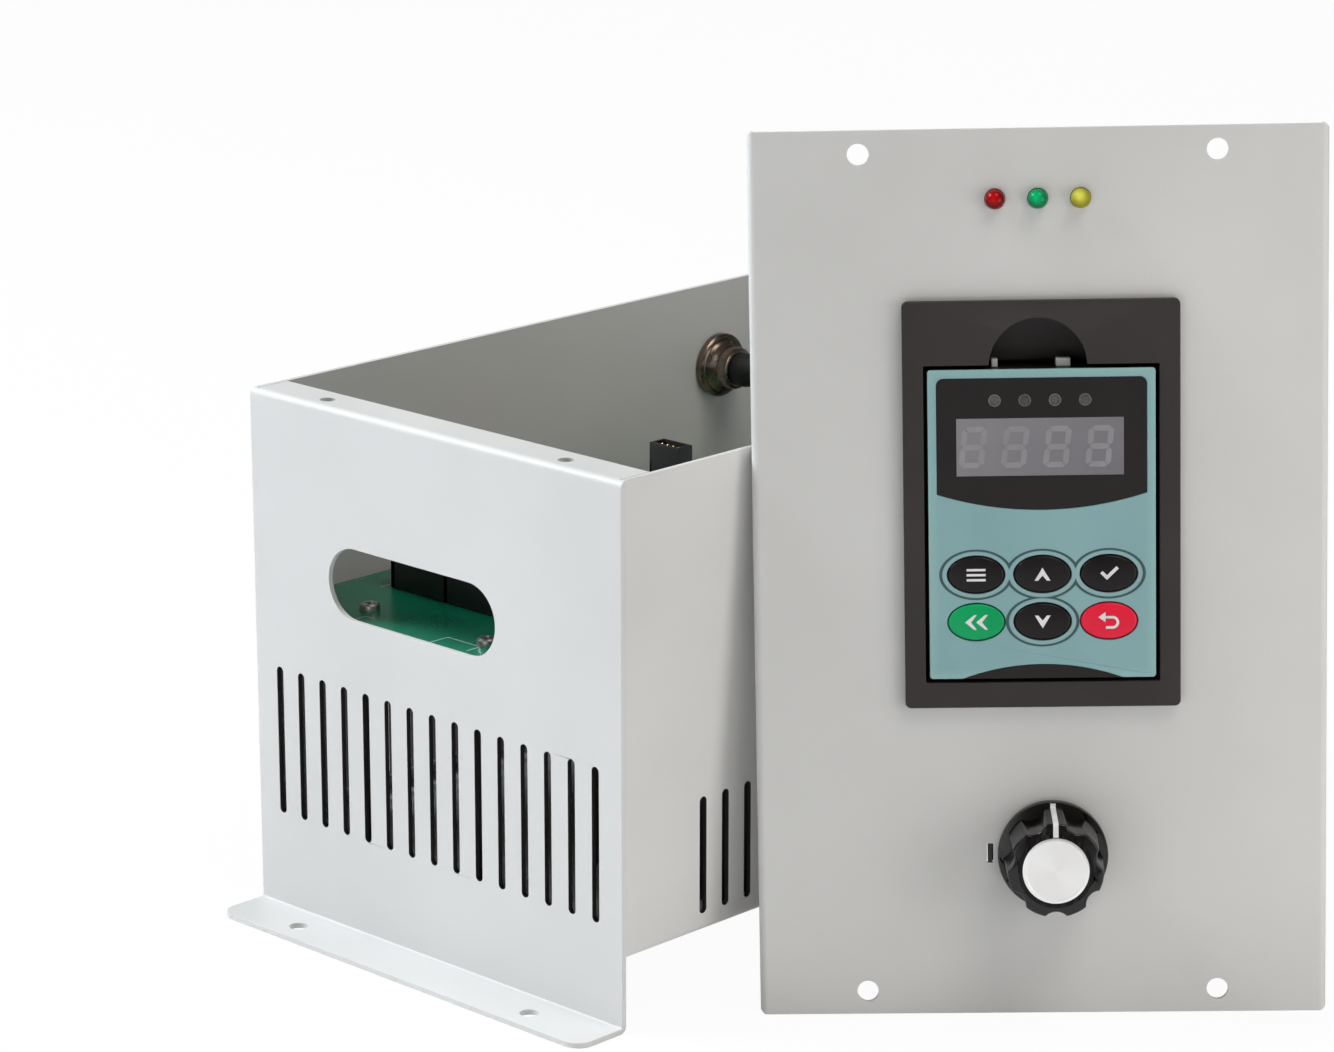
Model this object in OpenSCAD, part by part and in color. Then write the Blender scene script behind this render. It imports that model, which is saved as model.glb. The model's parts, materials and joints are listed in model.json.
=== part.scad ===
// Wall-mounting induction heater controller, opened up: the sheet metal box with its electronics,
// and the front cover with keypad, lamps and knob, standing on its edge and leaning on the box.
// Millimetres, +Z up. The origin is the centre of the four wall-mounting holes, on their seating plane.

/* [Box] */
// Width of the box across its side walls
box_w = 140; // [136:1:160]
// Length of the box over its end plates
box_l = 228; // [224:1:260]
// Height of the box from the mounting plane to its rim
box_h = 147; // [145:1:170]
// Thickness of the steel sheet
sheet = 1.5; // [1.2:0.1:1.8]
// Outer radius of every sheet bend
bend_r = 2; // [2:0.1:2.5]
// Height of the tray floor above the mounting plane
tray_lift = 20; // [16:1:22]
// Depth of the rim lips that take the cover screws
lip_depth = 12; // [10:0.5:14]
// Depth of the wall-mounting flanges
flange_depth = 16; // [14:0.5:22]
// Diameter of a wall-mounting hole
flange_hole_d = 5; // [4.2:0.1:6.5]
// Distance between the two holes across the box, in flanges, lips and cover alike
hole_span = 90; // [70:1:100]
// Tapping diameter of the cover screw holes in the lips
lip_hole_d = 4.2; // [3.3:0.1:5]
// Distance of a cover screw from the end of the box
lip_hole_inset = 5.8; // [5:0.1:6.5]

/* [Vents and cable window] */
// Number of vent slots in the front end plate
vent_count = 15; // [5:1:15]
// Sheet left at each end of the row of front vent slots
vent_margin = 8.2; // [6:0.1:20]
// Width of every vent slot
vent_w = 2.5; // [2:0.1:3.5]
// Length of a front vent slot
vent_len = 42; // [30:1:46]
// Height of the middle of the front vent slots
vent_z = 49.2; // [47:0.1:52]
// Number of vent slots in each side wall
side_vent_count = 21; // [5:1:21]
// Sheet left at each end of the row of side vent slots
side_vent_margin = 28.75; // [20:0.25:40]
// Length of a side vent slot
side_vent_len = 32; // [20:1:34]
// Height of the middle of the side vent slots
side_vent_z = 41; // [40:0.5:44]
// Length of the cable window
window_len = 64; // [50:1:80]
// Height of the cable window
window_h = 20; // [16:1:22]
// Sideways place of the cable window
window_x = -7.7; // [-12:0.1:12]
// Height of the middle of the cable window
window_z = 99.6; // [98:0.1:104]

/* [Cooling] */
// Width of the heatsink
sink_w = 100; // [80:1:104]
// Length of the heatsink
sink_l = 88; // [84:1:92]
// Height of the heatsink
sink_h = 48; // [44:1:50]
// Thickness of the heatsink's base plate
sink_base = 8; // [6:0.5:10]
// Thickness of a heatsink fin
fin_t = 2.2; // [1.6:0.1:2.6]
// Number of inner fins
fin_count = 9; // [5:1:9]
// Width of the heatsink's two outer feet
foot_t = 9; // [8:0.5:10]
// Side of the square fan frame
fan_size = 60; // [60:1:62]
// Depth of the fan frame
fan_depth = 25; // [20:1:26]
// Bore of the fan frame
fan_bore = 57; // [54:0.5:57]
// Distance between fan screws
fan_hole_span = 50; // [50:0.5:51]
// Outer diameter of the fan rotor over its blades
rotor_d = 55; // [48:0.5:55.5]
// Diameter of the fan shaft
fan_shaft_d = 3; // [2.5:0.1:3.5]
// Number of fan blades
blade_count = 7; // [5:1:9]

/* [Boards] */
// Gap between the power board and each side wall
board_side_gap = 4.5; // [3:0.5:8]
// Gap between the power board and the front end of the box
board_front_gap = 4; // [3:0.5:5]
// Gap between the power board and the rear end of the box
board_rear_gap = 38; // [34:0.5:40]
// Thickness of every circuit board
board_t = 1.6; // [1.2:0.1:2]
// Height of the power board's upper face
board_top = 88; // [87:0.5:89]
// Diameter of a board pillar
pillar_d = 6; // [5:0.5:7]
// Thread size of the board screws
screw_d = 3; // [2.5:0.1:3.5]

/* [Side socket] */
// Distance of the socket from the front end of the box
socket_y = 182; // [176:1:190]
// Height of the socket
socket_z = 122; // [118:1:126]
// Thread diameter of the socket
socket_d = 16; // [14:0.5:18]
// Diameter of the socket's lead
lead_d = 4; // [3:0.5:5]

/* [Front cover] */
// Play between each side wall and the cover's folded edge
cover_play = 1.4; // [0.5:0.1:3]
// Extra length of the cover over the box
cover_extra_l = 0.5; // [0:0.1:2]
// Depth of the cover's folded long edges
cover_fold = 5; // [4:0.5:8]
// Diameter of the cover's screw holes
cover_hole_d = 5.5; // [5:0.1:6.5]
// Cut across the cover's corners
cover_corner = 1.5; // [1:0.1:3]
// Gap left where the cover leans on the box
lean_gap = 0.3; // [0.3:0.05:0.5]
// Angle of the cover about the vertical
cover_yaw = 41.5; // [38:0.5:46]
// Angle by which the cover leans back
cover_lean = 6.5; // [5:0.1:9]
// Turn of the cover in its own plane
cover_roll = 1.4; // [0:0.1:2]
// Distance of the cover's lower corner from the front end of the box
cover_foot_y = 33.5; // [28:0.5:40]

/* [Cover lamps and knob] */
// Diameter of an indicator lamp
led_d = 5; // [3:0.5:6]
// Spacing of the indicator lamps
led_pitch = 10.75; // [9:0.25:14]
// Distance of the lamps from the cover's upper edge
led_inset = 17.7; // [14:0.1:22]
// Height of the knob up the cover
knob_v = 42.4; // [36:0.1:44]
// Sideways place of the knob from the cover's middle line
knob_u = 2.8; // [-3:0.1:3]
// Diameter of the knob's skirt
skirt_d = 28.2; // [26:0.1:31]
// Height of the knob above the cover
knob_h = 20; // [18:0.5:24]
// Number of lobes round the knob
lobe_count = 7; // [5:2:9]
// Diameter of the knob's aluminium disc
disc_d = 17; // [14:0.5:18]
// Diameter of the potentiometer shaft
shaft_d = 6; // [5:0.5:6.4]
// Diameter of the potentiometer bush
bush_d = 10; // [9:0.5:11]
// Diameter of the potentiometer body
pot_d = 28; // [24:0.5:30]

/* [Keypad] */
// Width that the holder's face adds to the keypad
holder_extra_w = 12.6; // [10:0.1:18]
// Height that the holder's face adds to the keypad
holder_extra_h = 25; // [22:0.1:32]
// Height of the holder's middle over the point midway between the knob and the lamps
holder_shift = 6.6; // [4:0.05:9]
// Thickness of the holder's face over the cover
holder_face = 2.5; // [2:0.1:3.5]
// Width of the keypad
pad_w = 57.4; // [57:0.1:58]
// Height of the keypad
pad_h = 79.3; // [79:0.1:80]
// Distance of the keypad's middle below the holder's
pad_drop = 4.85; // [4.6:0.05:5.2]
// Gap all round the keypad in its holder
pad_gap = 1; // [0.6:0.1:1.2]
// Depth of the keypad behind the cover's face
pad_depth = 14; // [12:0.5:16]
// Radius of the finger notch above the keypad
notch_r = 12.4; // [10:0.1:13]
// Width of a key
key_w = 14.2; // [12:0.1:14.4]
// Height of a key
key_h = 9.3; // [8:0.1:9.5]
// Sideways spacing of the keys
key_pitch_u = 16.8; // [16.6:0.1:17.4]
// Spacing of the key rows
key_pitch_v = 12.2; // [12:0.1:13]
// Travel of a key
key_travel = 0.8; // [0.4:0.1:0.8]
// Gap all round a key
key_gap = 0.3; // [0.3:0.05:0.4]

/* [Hidden] */
$fn = 48;

// One overrun for every cut
cut = 1;
// Radial clearance of a shaft in its bore
shaft_play = 0.05;

// Places along the box, measured from the middle
front_y = -box_l / 2;
inner_w = box_w - 2 * sheet;
floor_z = tray_lift + sheet;
vent_pitch = (box_w - 2 * vent_margin - vent_w) / (vent_count - 1);
side_vent_span = box_l - 2 * side_vent_margin - vent_w;
side_vent_pitch = side_vent_span / (side_vent_count - 1);
weld_tab_inset = 10;
weld_tab_w = box_w - 2 * weld_tab_inset;
weld_tab_h = 12;
flange_corner_r = 5;
flange_hole_inset = 7;
lip_trim = 0.2;

// Sheet metal shapes

module quarter_ring(r_out, thick) {
    // Quarter of a bend, in the first quadrant
    intersection() {
        difference() {
            circle(r = r_out);
            circle(r = r_out - thick);
        }
        square([r_out, r_out]);
    }
}

module obround(len, w) {
    // Slot outline along Y, round at both ends
    square([w, len - w], center = true);
    for (s = [-1, 1])
        translate([0, s * (len - w) / 2])
            circle(d = w);
}

module round_floor(w, h, r) {
    // Outline standing on Y = 0 with its two lower corners rounded
    translate([-w / 2, r])
        square([w, h - r]);
    translate([-w / 2 + r, 0])
        square([w - 2 * r, h]);
    for (s = [-1, 1])
        translate([s * (w / 2 - r), r])
            circle(r = r);
}

module rounded_rect(w, h, r) {
    square([w - 2 * r, h], center = true);
    square([w, h - 2 * r], center = true);
    for (sx = [-1, 1], sy = [-1, 1])
        translate([sx * (w / 2 - r), sy * (h / 2 - r)])
            circle(r = r);
}

module across_x(len) {
    // Extrudes an outline drawn in the YZ plane along X, about the middle
    rotate([90, 0, 90])
        linear_extrude(len, center = true)
            children();
}

module along_y(len) {
    // Extrudes an outline drawn in the XZ plane along Y, about the middle
    rotate([90, 0, 0])
        linear_extrude(len, center = true)
            children();
}

// Box

module tray() {
    tab_y = box_l / 2 - sheet - sheet / 2;
    color("gainsboro")
    difference() {
        union() {
            translate([0, 0, tray_lift])
                along_y(box_l - 2 * sheet)
                    difference() {
                        round_floor(box_w, box_h - tray_lift, bend_r);
                        translate([0, sheet])
                            round_floor(inner_w, box_h, bend_r - sheet);
                    }
            for (s = [-1, 1])
                translate([-weld_tab_w / 2, s * tab_y - sheet / 2, tray_lift - weld_tab_h])
                    cube([weld_tab_w, sheet, weld_tab_h + sheet]);
        }
        for (s = [-1, 1], i = [0 : side_vent_count - 1])
            translate([s * box_w / 2, i * side_vent_pitch - side_vent_span / 2, side_vent_z])
                across_x(4 * sheet)
                    obround(side_vent_len, vent_w);
        at_socket()
            translate([0, 0, -cut])
                cylinder(d = socket_d + 2 * socket_hole_play, h = sheet + 2 * cut);
        at_sink_screws()
            translate([0, 0, tray_lift - cut])
                cylinder(d = sink_screw_d + 2 * sink_screw_play, h = sheet + 2 * cut);
        at_earth_screw()
            translate([0, 0, -cut])
                cylinder(d = earth_screw_d, h = sheet + 2 * cut);
    }
}

module end_outline() {
    // Section of an end plate: flange out at the foot, lip in at the rim; Y is 0 at the outer face
    bend_in = bend_r - sheet;
    translate([0, bend_r])
        square([sheet, box_h - 2 * bend_r]);
    translate([bend_r, box_h - bend_r])
        rotate(90)
            quarter_ring(bend_r, sheet);
    translate([bend_r, box_h - sheet])
        square([lip_depth - bend_r, sheet]);
    translate([-bend_in, bend_r])
        rotate(-90)
            quarter_ring(bend_r, sheet);
    translate([-flange_depth, 0])
        square([flange_depth - bend_in, sheet]);
}

module end_blank() {
    lip_end = inner_w / 2 - lip_trim;
    difference() {
        across_x(box_w)
            end_outline();
        for (s = [-1, 1]) {
            translate([s * hole_span / 2, -flange_depth + flange_hole_inset, -cut])
                cylinder(d = flange_hole_d, h = sheet + 2 * cut);
            translate([s * hole_span / 2, lip_hole_inset, box_h - sheet - cut])
                cylinder(d = lip_hole_d, h = sheet + 2 * cut);
            translate([s * (lip_end + box_w / 2) - box_w / 2, sheet, tray_lift])
                cube([box_w, lip_depth, box_h]);
            translate([s * box_w / 2, -flange_depth, -cut])
                rotate(s > 0 ? 90 : 0)
                    flange_corner();
        }
    }
}

module flange_corner() {
    // What rounds off the outer corner that lies on the +X and +Y side of its origin
    difference() {
        translate([-cut, -cut, 0])
            cube([flange_corner_r + cut, flange_corner_r + cut, sheet + 2 * cut]);
        translate([flange_corner_r, flange_corner_r, -cut])
            cylinder(r = flange_corner_r, h = sheet + 4 * cut);
    }
}

module front_end_plate() {
    color("gainsboro")
    translate([0, front_y, 0])
        difference() {
            end_blank();
            for (i = [0 : vent_count - 1])
                translate([(i - (vent_count - 1) / 2) * vent_pitch, 0, vent_z])
                    along_y(4 * sheet)
                        obround(vent_len, vent_w);
            translate([window_x, 0, window_z])
                along_y(4 * sheet)
                    rotate(90)
                        obround(window_len, window_h);
        }
}

module rear_end_plate() {
    color("gainsboro")
    mirror([0, 1, 0])
        translate([0, front_y, 0])
            difference() {
                end_blank();
                for (i = [-grille_side : grille_side])
                    translate([i * grille_pitch, 0, fan_z])
                        along_y(4 * sheet)
                            obround(2 * sqrt(pow(grille_r, 2) - pow(i * grille_pitch, 2)), vent_w);
                for (sx = [-1, 1], sz = [-1, 1])
                    translate([sx * fan_hole_span / 2, sheet + cut, fan_z + sz * fan_hole_span / 2])
                        rotate([90, 0, 0])
                            cylinder(d = fan_screw_d + 2 * fan_screw_play, h = sheet + 2 * cut);
            }
}

// Fan, with its axis along the box
fan_floor_gap = 1;
fan_z = floor_z + fan_floor_gap + fan_size / 2;
grille_r = fan_bore / 2 - vent_w / 2;
grille_side = 4;
grille_pitch = grille_r / (grille_side + 0.6);
fan_corner_r = 4;
fan_screw_d = 4;
fan_screw_play = 0.25;
fan_screw_len = 10;
fan_head_d = 7.5;
fan_head_h = 2.4;
strut_t = 3;
strut_w = 3;
fan_hub_d = 26;
fan_hub_wall = 1.5;
hub_gap = 2;
rotor_end_gap = 2;
bearing_d = 7;
bearing_len = 14;
blade_t = 1.2;
blade_pitch = 40;
blade_chord = 17;

module at_fan() {
    // Z runs from the rear end plate into the box
    translate([0, box_l / 2 - sheet, fan_z])
        rotate([90, 0, 0])
            children();
}

module fan_frame() {
    color("dimgray")
    at_fan()
        difference() {
            union() {
                difference() {
                    linear_extrude(fan_depth)
                        rounded_rect(fan_size, fan_size, fan_corner_r);
                    translate([0, 0, -cut])
                        cylinder(d = fan_bore, h = fan_depth + 2 * cut);
                }
                cylinder(d = fan_hub_d, h = strut_t);
                for (a = [0 : 3])
                    rotate(45 + a * 90)
                        translate([0, -strut_w / 2, 0])
                            cube([fan_bore / 2 + strut_w / 2, strut_w, strut_t]);
            }
            translate([0, 0, -cut])
                cylinder(d = bearing_d, h = strut_t + 2 * cut);
            for (sx = [-1, 1], sy = [-1, 1])
                translate([sx * fan_hole_span / 2, sy * fan_hole_span / 2, -cut])
                    cylinder(d = fan_screw_d, h = fan_depth + 2 * cut);
        }
}

module fan_bearing() {
    color("goldenrod")
    at_fan()
        difference() {
            cylinder(d = bearing_d, h = bearing_len);
            translate([0, 0, -cut])
                cylinder(d = fan_shaft_d + 2 * shaft_play, h = bearing_len + 2 * cut);
        }
}

module fan_screws() {
    color("silver")
    at_fan()
        for (sx = [-1, 1], sy = [-1, 1])
            translate([sx * fan_hole_span / 2, sy * fan_hole_span / 2, -sheet]) {
                translate([0, 0, -fan_head_h])
                    cylinder(d = fan_head_d, h = fan_head_h);
                cylinder(d = fan_screw_d, h = fan_screw_len);
            }
}

module fan_rotor() {
    hub_low = strut_t + hub_gap;
    hub_top = fan_depth - rotor_end_gap;
    color("black")
    at_fan() {
        cylinder(d = fan_shaft_d, h = hub_top);
        difference() {
            translate([0, 0, hub_low])
                cylinder(d = fan_hub_d, h = hub_top - hub_low);
            translate([0, 0, hub_low - cut])
                cylinder(d = fan_hub_d - 2 * fan_hub_wall, h = hub_top - hub_low - fan_hub_wall + cut);
        }
        intersection() {
            for (i = [0 : blade_count - 1])
                rotate(i * 360 / blade_count)
                    translate([rotor_d / 4, 0, (hub_low + hub_top) / 2])
                        rotate([blade_pitch, 0, 0])
                            cube([rotor_d / 2, blade_t, blade_chord], center = true);
            difference() {
                cylinder(d = rotor_d, h = hub_top);
                translate([0, 0, -cut])
                    cylinder(d = fan_hub_d - fan_hub_wall, h = hub_top + 2 * cut);
            }
        }
    }
}

// Heatsink and the power modules on it

sink_fan_gap = 6;
sink_y = box_l / 2 - sheet - fan_depth - sink_fan_gap - sink_l / 2;
sink_top = floor_z + sink_h;
fin_end_gap = 3;
fin_pitch = (sink_w - 2 * foot_t) / (fin_count + 1);
sink_screw_d = 4;
sink_screw_play = 0.3;
sink_screw_len = 10;
sink_screw_inset = 12;
sink_head_d = 7.5;
sink_head_h = 2.4;
board_low = board_top - board_t;
igbt_size = [94, 34, 12];
igbt_shift = 14;
igbt_y = sink_y + igbt_shift;
igbt_screw_inset = 6;
igbt_ear_h = 6;
igbt_ear_d = 9;
bridge_size = [28.5, 28.5, 10];
bridge_x = -28;
bridge_shift = 24;
bridge_y = sink_y - bridge_shift;
module_screw_d = 4;
module_screw_play = 0.2;
module_screw_depth = 6;
module_head_d = 7;
module_head_h = 3;
power_pin_d = 1.2;
igbt_pin_count = 6;
igbt_pin_pitch = 14;
igbt_pin_row = 26;
bridge_pin_span = 18;

module at_sink_screws() {
    for (sx = [-1, 1], sy = [-1, 1])
        translate([
            sx * (sink_w - foot_t) / 2,
            sink_y + sy * (sink_l / 2 - sink_screw_inset),
            0
        ])
            children();
}

module at_module_screws() {
    // Two hold the transistor module and one the rectifier
    for (s = [-1, 1])
        translate([s * (igbt_size.x / 2 - igbt_screw_inset), igbt_y, sink_top])
            children();
    translate([bridge_x, bridge_y, sink_top])
        children();
}

module heatsink() {
    color("silver")
    difference() {
        translate([0, sink_y, floor_z])
            along_y(sink_l) {
                translate([-sink_w / 2, sink_h - sink_base])
                    square([sink_w, sink_base]);
                for (s = [-1, 1])
                    translate([s * (sink_w - foot_t) / 2 - foot_t / 2, 0])
                        square([foot_t, sink_h]);
                for (i = [1 : fin_count])
                    translate([-sink_w / 2 + foot_t + i * fin_pitch - fin_t / 2, fin_end_gap])
                        square([fin_t, sink_h - fin_end_gap]);
            }
        at_sink_screws()
            translate([0, 0, floor_z - cut])
                cylinder(d = sink_screw_d, h = sink_screw_len + cut);
        at_module_screws()
            translate([0, 0, -module_screw_depth])
                cylinder(d = module_screw_d, h = module_screw_depth + cut);
    }
}

module heatsink_screws() {
    color("silver")
    at_sink_screws() {
        translate([0, 0, tray_lift - sink_head_h])
            cylinder(d = sink_head_d, h = sink_head_h);
        translate([0, 0, tray_lift])
            cylinder(d = sink_screw_d, h = sink_screw_len);
    }
}

module igbt_module() {
    color("darkslategray")
    difference() {
        union() {
            translate([0, igbt_y, sink_top + igbt_size.z / 2])
                cube(igbt_size, center = true);
            for (i = [0 : igbt_pin_count - 1], s = [-1, 1])
                translate([
                    (i - (igbt_pin_count - 1) / 2) * igbt_pin_pitch,
                    igbt_y + s * igbt_pin_row / 2,
                    sink_top + igbt_size.z / 2
                ])
                    cylinder(d = power_pin_d, h = board_low - sink_top - igbt_size.z / 2);
        }
        for (s = [-1, 1])
            translate([s * (igbt_size.x / 2 - igbt_screw_inset), igbt_y, sink_top]) {
                translate([0, 0, -cut])
                    cylinder(d = module_screw_d + 2 * module_screw_play, h = igbt_size.z + 2 * cut);
                translate([0, 0, igbt_ear_h])
                    cylinder(d = igbt_ear_d, h = igbt_size.z);
            }
    }
}

module rectifier_bridge() {
    color("black")
    difference() {
        union() {
            translate([bridge_x, bridge_y, sink_top + bridge_size.z / 2])
                cube(bridge_size, center = true);
            for (sx = [-1, 1], sy = [-1, 1])
                translate([
                    bridge_x + sx * bridge_pin_span / 2,
                    bridge_y + sy * bridge_pin_span / 2,
                    sink_top + bridge_size.z / 2
                ])
                    cylinder(d = power_pin_d, h = board_low - sink_top - bridge_size.z / 2);
        }
        translate([bridge_x, bridge_y, sink_top - cut])
            cylinder(d = module_screw_d + 2 * module_screw_play, h = bridge_size.z + 2 * cut);
    }
}

module module_screws() {
    color("silver") {
        for (s = [-1, 1])
            translate([s * (igbt_size.x / 2 - igbt_screw_inset), igbt_y, sink_top])
                module_screw(igbt_ear_h);
        translate([bridge_x, bridge_y, sink_top])
            module_screw(bridge_size.z);
    }
}

module module_screw(seat) {
    translate([0, 0, -module_screw_depth])
        cylinder(d = module_screw_d, h = module_screw_depth + seat);
    translate([0, 0, seat])
        cylinder(d = module_head_d, h = module_head_h);
}

// Power board and what stands on it

board_w = inner_w - 2 * board_side_gap;
board_l = box_l - board_front_gap - board_rear_gap;
board_edge = board_w / 2;
board_y = front_y + board_front_gap + board_l / 2;
board_hole_play = 0.2;
board_screw_left = 25.6;
board_screw_right = 11.2;
board_screw_pitch = (board_w - board_screw_left - board_screw_right) / 2;
board_screw_x = -board_edge + board_screw_left;
board_screw_inset = 9.4;
rear_pillar_x = board_edge - pillar_d;
board_screw_len = 8;
board_head_d = 5.6;
board_head_h = 2.2;
cap_d = 30;
cap_h = 30;
cap_rim_r = 2;
cap_side_gap = 11;
cap_x = board_edge - cap_side_gap - cap_d / 2;
cap_pitch = 35;
cap_from_front = 110;
cap_y = front_y + cap_from_front;
choke_d = 40;
choke_bore = 18;
choke_h = 16;
choke_edge_r = 3;
choke_side_gap = 14;
choke_x = -board_edge + choke_side_gap + choke_d / 2;
choke_from_front = 82;
supply_size = [30, 26, 13];
supply_side_gap = 15;
supply_x = -board_edge + supply_side_gap + supply_size.x / 2;
supply_from_front = 132;
pole_count = 4;
pole_pitch = 23;
terminal_side_gap = 13.6;
terminal_x = -board_edge + terminal_side_gap;
terminal_from_front = 32;
terminal_depth = 16;
terminal_base_h = 13;
terminal_wall_h = 15;
terminal_wall_t = 2;
terminal_screw_d = 7;
terminal_screw_h = 2;
card_w = 46;
card_side_gap = 4;
card_x = board_edge - card_side_gap - card_w;
card_h = 38;
card_from_front = 71.6;
card_y = front_y + card_from_front;
header_size = [10.7, 5.6, 17];
header_inset = 1.7;
header_x = card_x + header_inset;
header_rise = 9;
header_well = [8, 3, 5];
res_cap_size = [50, 50, 44];
res_cap_side_gap = 6.5;
res_cap_x = inner_w / 2 - res_cap_side_gap - res_cap_size.x / 2;
res_cap_from_front = 68;
res_cap_terminal_d = 8;
res_cap_terminal_h = 6;
res_cap_terminal_span = 26;

module at_pillars() {
    for (i = [0 : 2])
        translate([board_screw_x + i * board_screw_pitch, board_y - board_l / 2 + board_screw_inset, 0])
            children();
    for (s = [-1, 1])
        translate([s * rear_pillar_x, board_y + board_l / 2 - board_screw_inset, 0])
            children();
}

module power_board() {
    color("seagreen")
    difference() {
        translate([-board_w / 2, board_y - board_l / 2, board_low])
            cube([board_w, board_l, board_t]);
        at_pillars()
            translate([0, 0, board_low - cut])
                cylinder(d = screw_d + 2 * board_hole_play, h = board_t + 2 * cut);
    }
}

module board_pillars() {
    color("black")
    at_pillars()
        difference() {
            translate([0, 0, floor_z])
                cylinder(d = pillar_d, h = board_low - floor_z, $fn = 6);
            translate([0, 0, board_low - board_screw_len])
                cylinder(d = screw_d, h = board_screw_len + cut);
        }
}

module board_screws() {
    color("silver")
    at_pillars() {
        translate([0, 0, board_low - board_screw_len])
            cylinder(d = screw_d, h = board_screw_len + board_t);
        translate([0, 0, board_top])
            cylinder(d = board_head_d, h = board_head_h);
    }
}

module bus_capacitors() {
    color("darkslateblue")
    for (i = [0, 1])
        translate([cap_x, cap_y + i * cap_pitch, board_top])
            rotate_extrude() {
                square([cap_d / 2 - cap_rim_r, cap_h]);
                square([cap_d / 2, cap_h - cap_rim_r]);
                translate([cap_d / 2 - cap_rim_r, cap_h - cap_rim_r])
                    circle(r = cap_rim_r);
            }
}

module filter_choke() {
    ring_mid = (choke_d + choke_bore) / 4;
    color("peru")
    translate([choke_x, front_y + choke_from_front, board_top + choke_h / 2])
        rotate_extrude()
            translate([ring_mid, 0])
                rounded_rect((choke_d - choke_bore) / 2, choke_h, choke_edge_r);
}

module supply_transformer() {
    color("darkgoldenrod")
    translate([supply_x, front_y + supply_from_front, board_top + supply_size.z / 2])
        cube(supply_size, center = true);
}

module terminal_block() {
    color("black")
    translate([terminal_x, front_y + terminal_from_front, board_top]) {
        cube([pole_count * pole_pitch, terminal_depth, terminal_base_h]);
        for (i = [0 : pole_count])
            translate([i * pole_pitch - (i == 0 ? 0 : terminal_wall_t), 0, 0])
                cube([terminal_wall_t, terminal_depth, terminal_wall_h]);
    }
}

module terminal_screws() {
    color("silver")
    for (i = [0 : pole_count - 1])
        translate([
            terminal_x + (i + 1 / 2) * pole_pitch,
            front_y + terminal_from_front + terminal_depth / 2,
            board_top + terminal_base_h
        ])
            cylinder(d = terminal_screw_d, h = terminal_screw_h);
}

module control_board() {
    color("seagreen")
    translate([card_x, card_y, board_top])
        cube([card_w, board_t, card_h]);
}

module control_header() {
    color("black")
    translate([header_x, card_y - header_size.y, board_top + card_h + header_rise - header_size.z])
        difference() {
            cube(header_size);
            translate([
                (header_size.x - header_well.x) / 2,
                (header_size.y - header_well.y) / 2,
                header_size.z - header_well.z
            ])
                cube([header_well.x, header_well.y, header_well.z + cut]);
        }
}

module resonant_capacitor() {
    color("black")
    translate([res_cap_x, front_y + res_cap_from_front, floor_z]) {
        translate([0, 0, res_cap_size.z / 2])
            cube(res_cap_size, center = true);
        for (s = [-1, 1])
            translate([s * res_cap_terminal_span / 2, 0, res_cap_size.z])
                cylinder(d = res_cap_terminal_d, h = res_cap_terminal_h);
    }
}

// Socket in the side wall, its lead, and the earth screw

socket_hole_play = 0.2;
socket_flange_d = 21;
socket_flange_t = 2;
socket_mouth_len = 9;
socket_mouth_d = 15;
socket_mouth_bore = 12;
socket_mouth_depth = 9;
socket_thread_len = 4.5;
socket_rear_d = 12.6;
socket_rear_len = 9;
socket_core_d = 10;
socket_pin_d = 1.6;
socket_pin_circle = 6;
socket_pin_len = 4.5;
socket_nut_d = 19;
socket_nut_h = 3;
boot_d = 10;
boot_end_d = 6;
boot_len = 9;
lead_run = 4;
lead_bend_r = 9;
plug_size = [10, 8, 8];
earth_y = 20;
earth_z = 76;
earth_screw_d = 5;
earth_head_d = 9.2;
earth_head_h = 3.5;
earth_screw_len = 12;
earth_nut_h = 4;

module at_socket() {
    // Z runs from the outer face of the left wall into the box, and X runs down
    translate([-box_w / 2, front_y + socket_y, socket_z])
        rotate([0, 90, 0])
            children();
}

module at_earth_screw() {
    translate([-box_w / 2, front_y + earth_y, earth_z])
        rotate([0, 90, 0])
            children();
}

module socket_shell() {
    color("lightgray")
    at_socket()
        difference() {
            union() {
                translate([0, 0, -socket_flange_t - socket_mouth_len])
                    cylinder(d = socket_mouth_d, h = socket_mouth_len + socket_flange_t);
                translate([0, 0, -socket_flange_t])
                    cylinder(d = socket_flange_d, h = socket_flange_t);
                cylinder(d = socket_d, h = sheet + socket_thread_len);
                cylinder(d = socket_rear_d, h = sheet + socket_rear_len);
            }
            translate([0, 0, -socket_flange_t - socket_mouth_len - cut])
                cylinder(d = socket_core_d, h = box_w);
            translate([0, 0, -socket_flange_t - socket_mouth_len - cut])
                cylinder(d = socket_mouth_bore, h = socket_mouth_depth + cut);
        }
}

module socket_nut() {
    color("rosybrown")
    at_socket()
        translate([0, 0, sheet])
            difference() {
                cylinder(d = socket_nut_d, h = socket_nut_h);
                translate([0, 0, -cut])
                    cylinder(d = socket_d, h = socket_nut_h + 2 * cut);
            }
}

module socket_insert() {
    core_low = -socket_flange_t - socket_mouth_len + socket_mouth_depth;
    color("black")
    at_socket() {
        translate([0, 0, core_low])
            cylinder(d = socket_core_d, h = sheet + socket_rear_len - core_low);
        for (i = [0 : 3])
            rotate(45 + i * 90)
                translate([socket_pin_circle / 2, 0, core_low - socket_pin_len])
                    cylinder(d = socket_pin_d, h = socket_pin_len + socket_pin_d);
    }
}

boot_z = sheet + socket_rear_len;
lead_z = boot_z + boot_len;
lead_down_z = lead_z + lead_run + lead_bend_r;

module socket_boot() {
    color("black")
    at_socket()
        translate([0, 0, boot_z])
            cylinder(d1 = boot_d, d2 = boot_end_d, h = boot_len);
}

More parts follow.
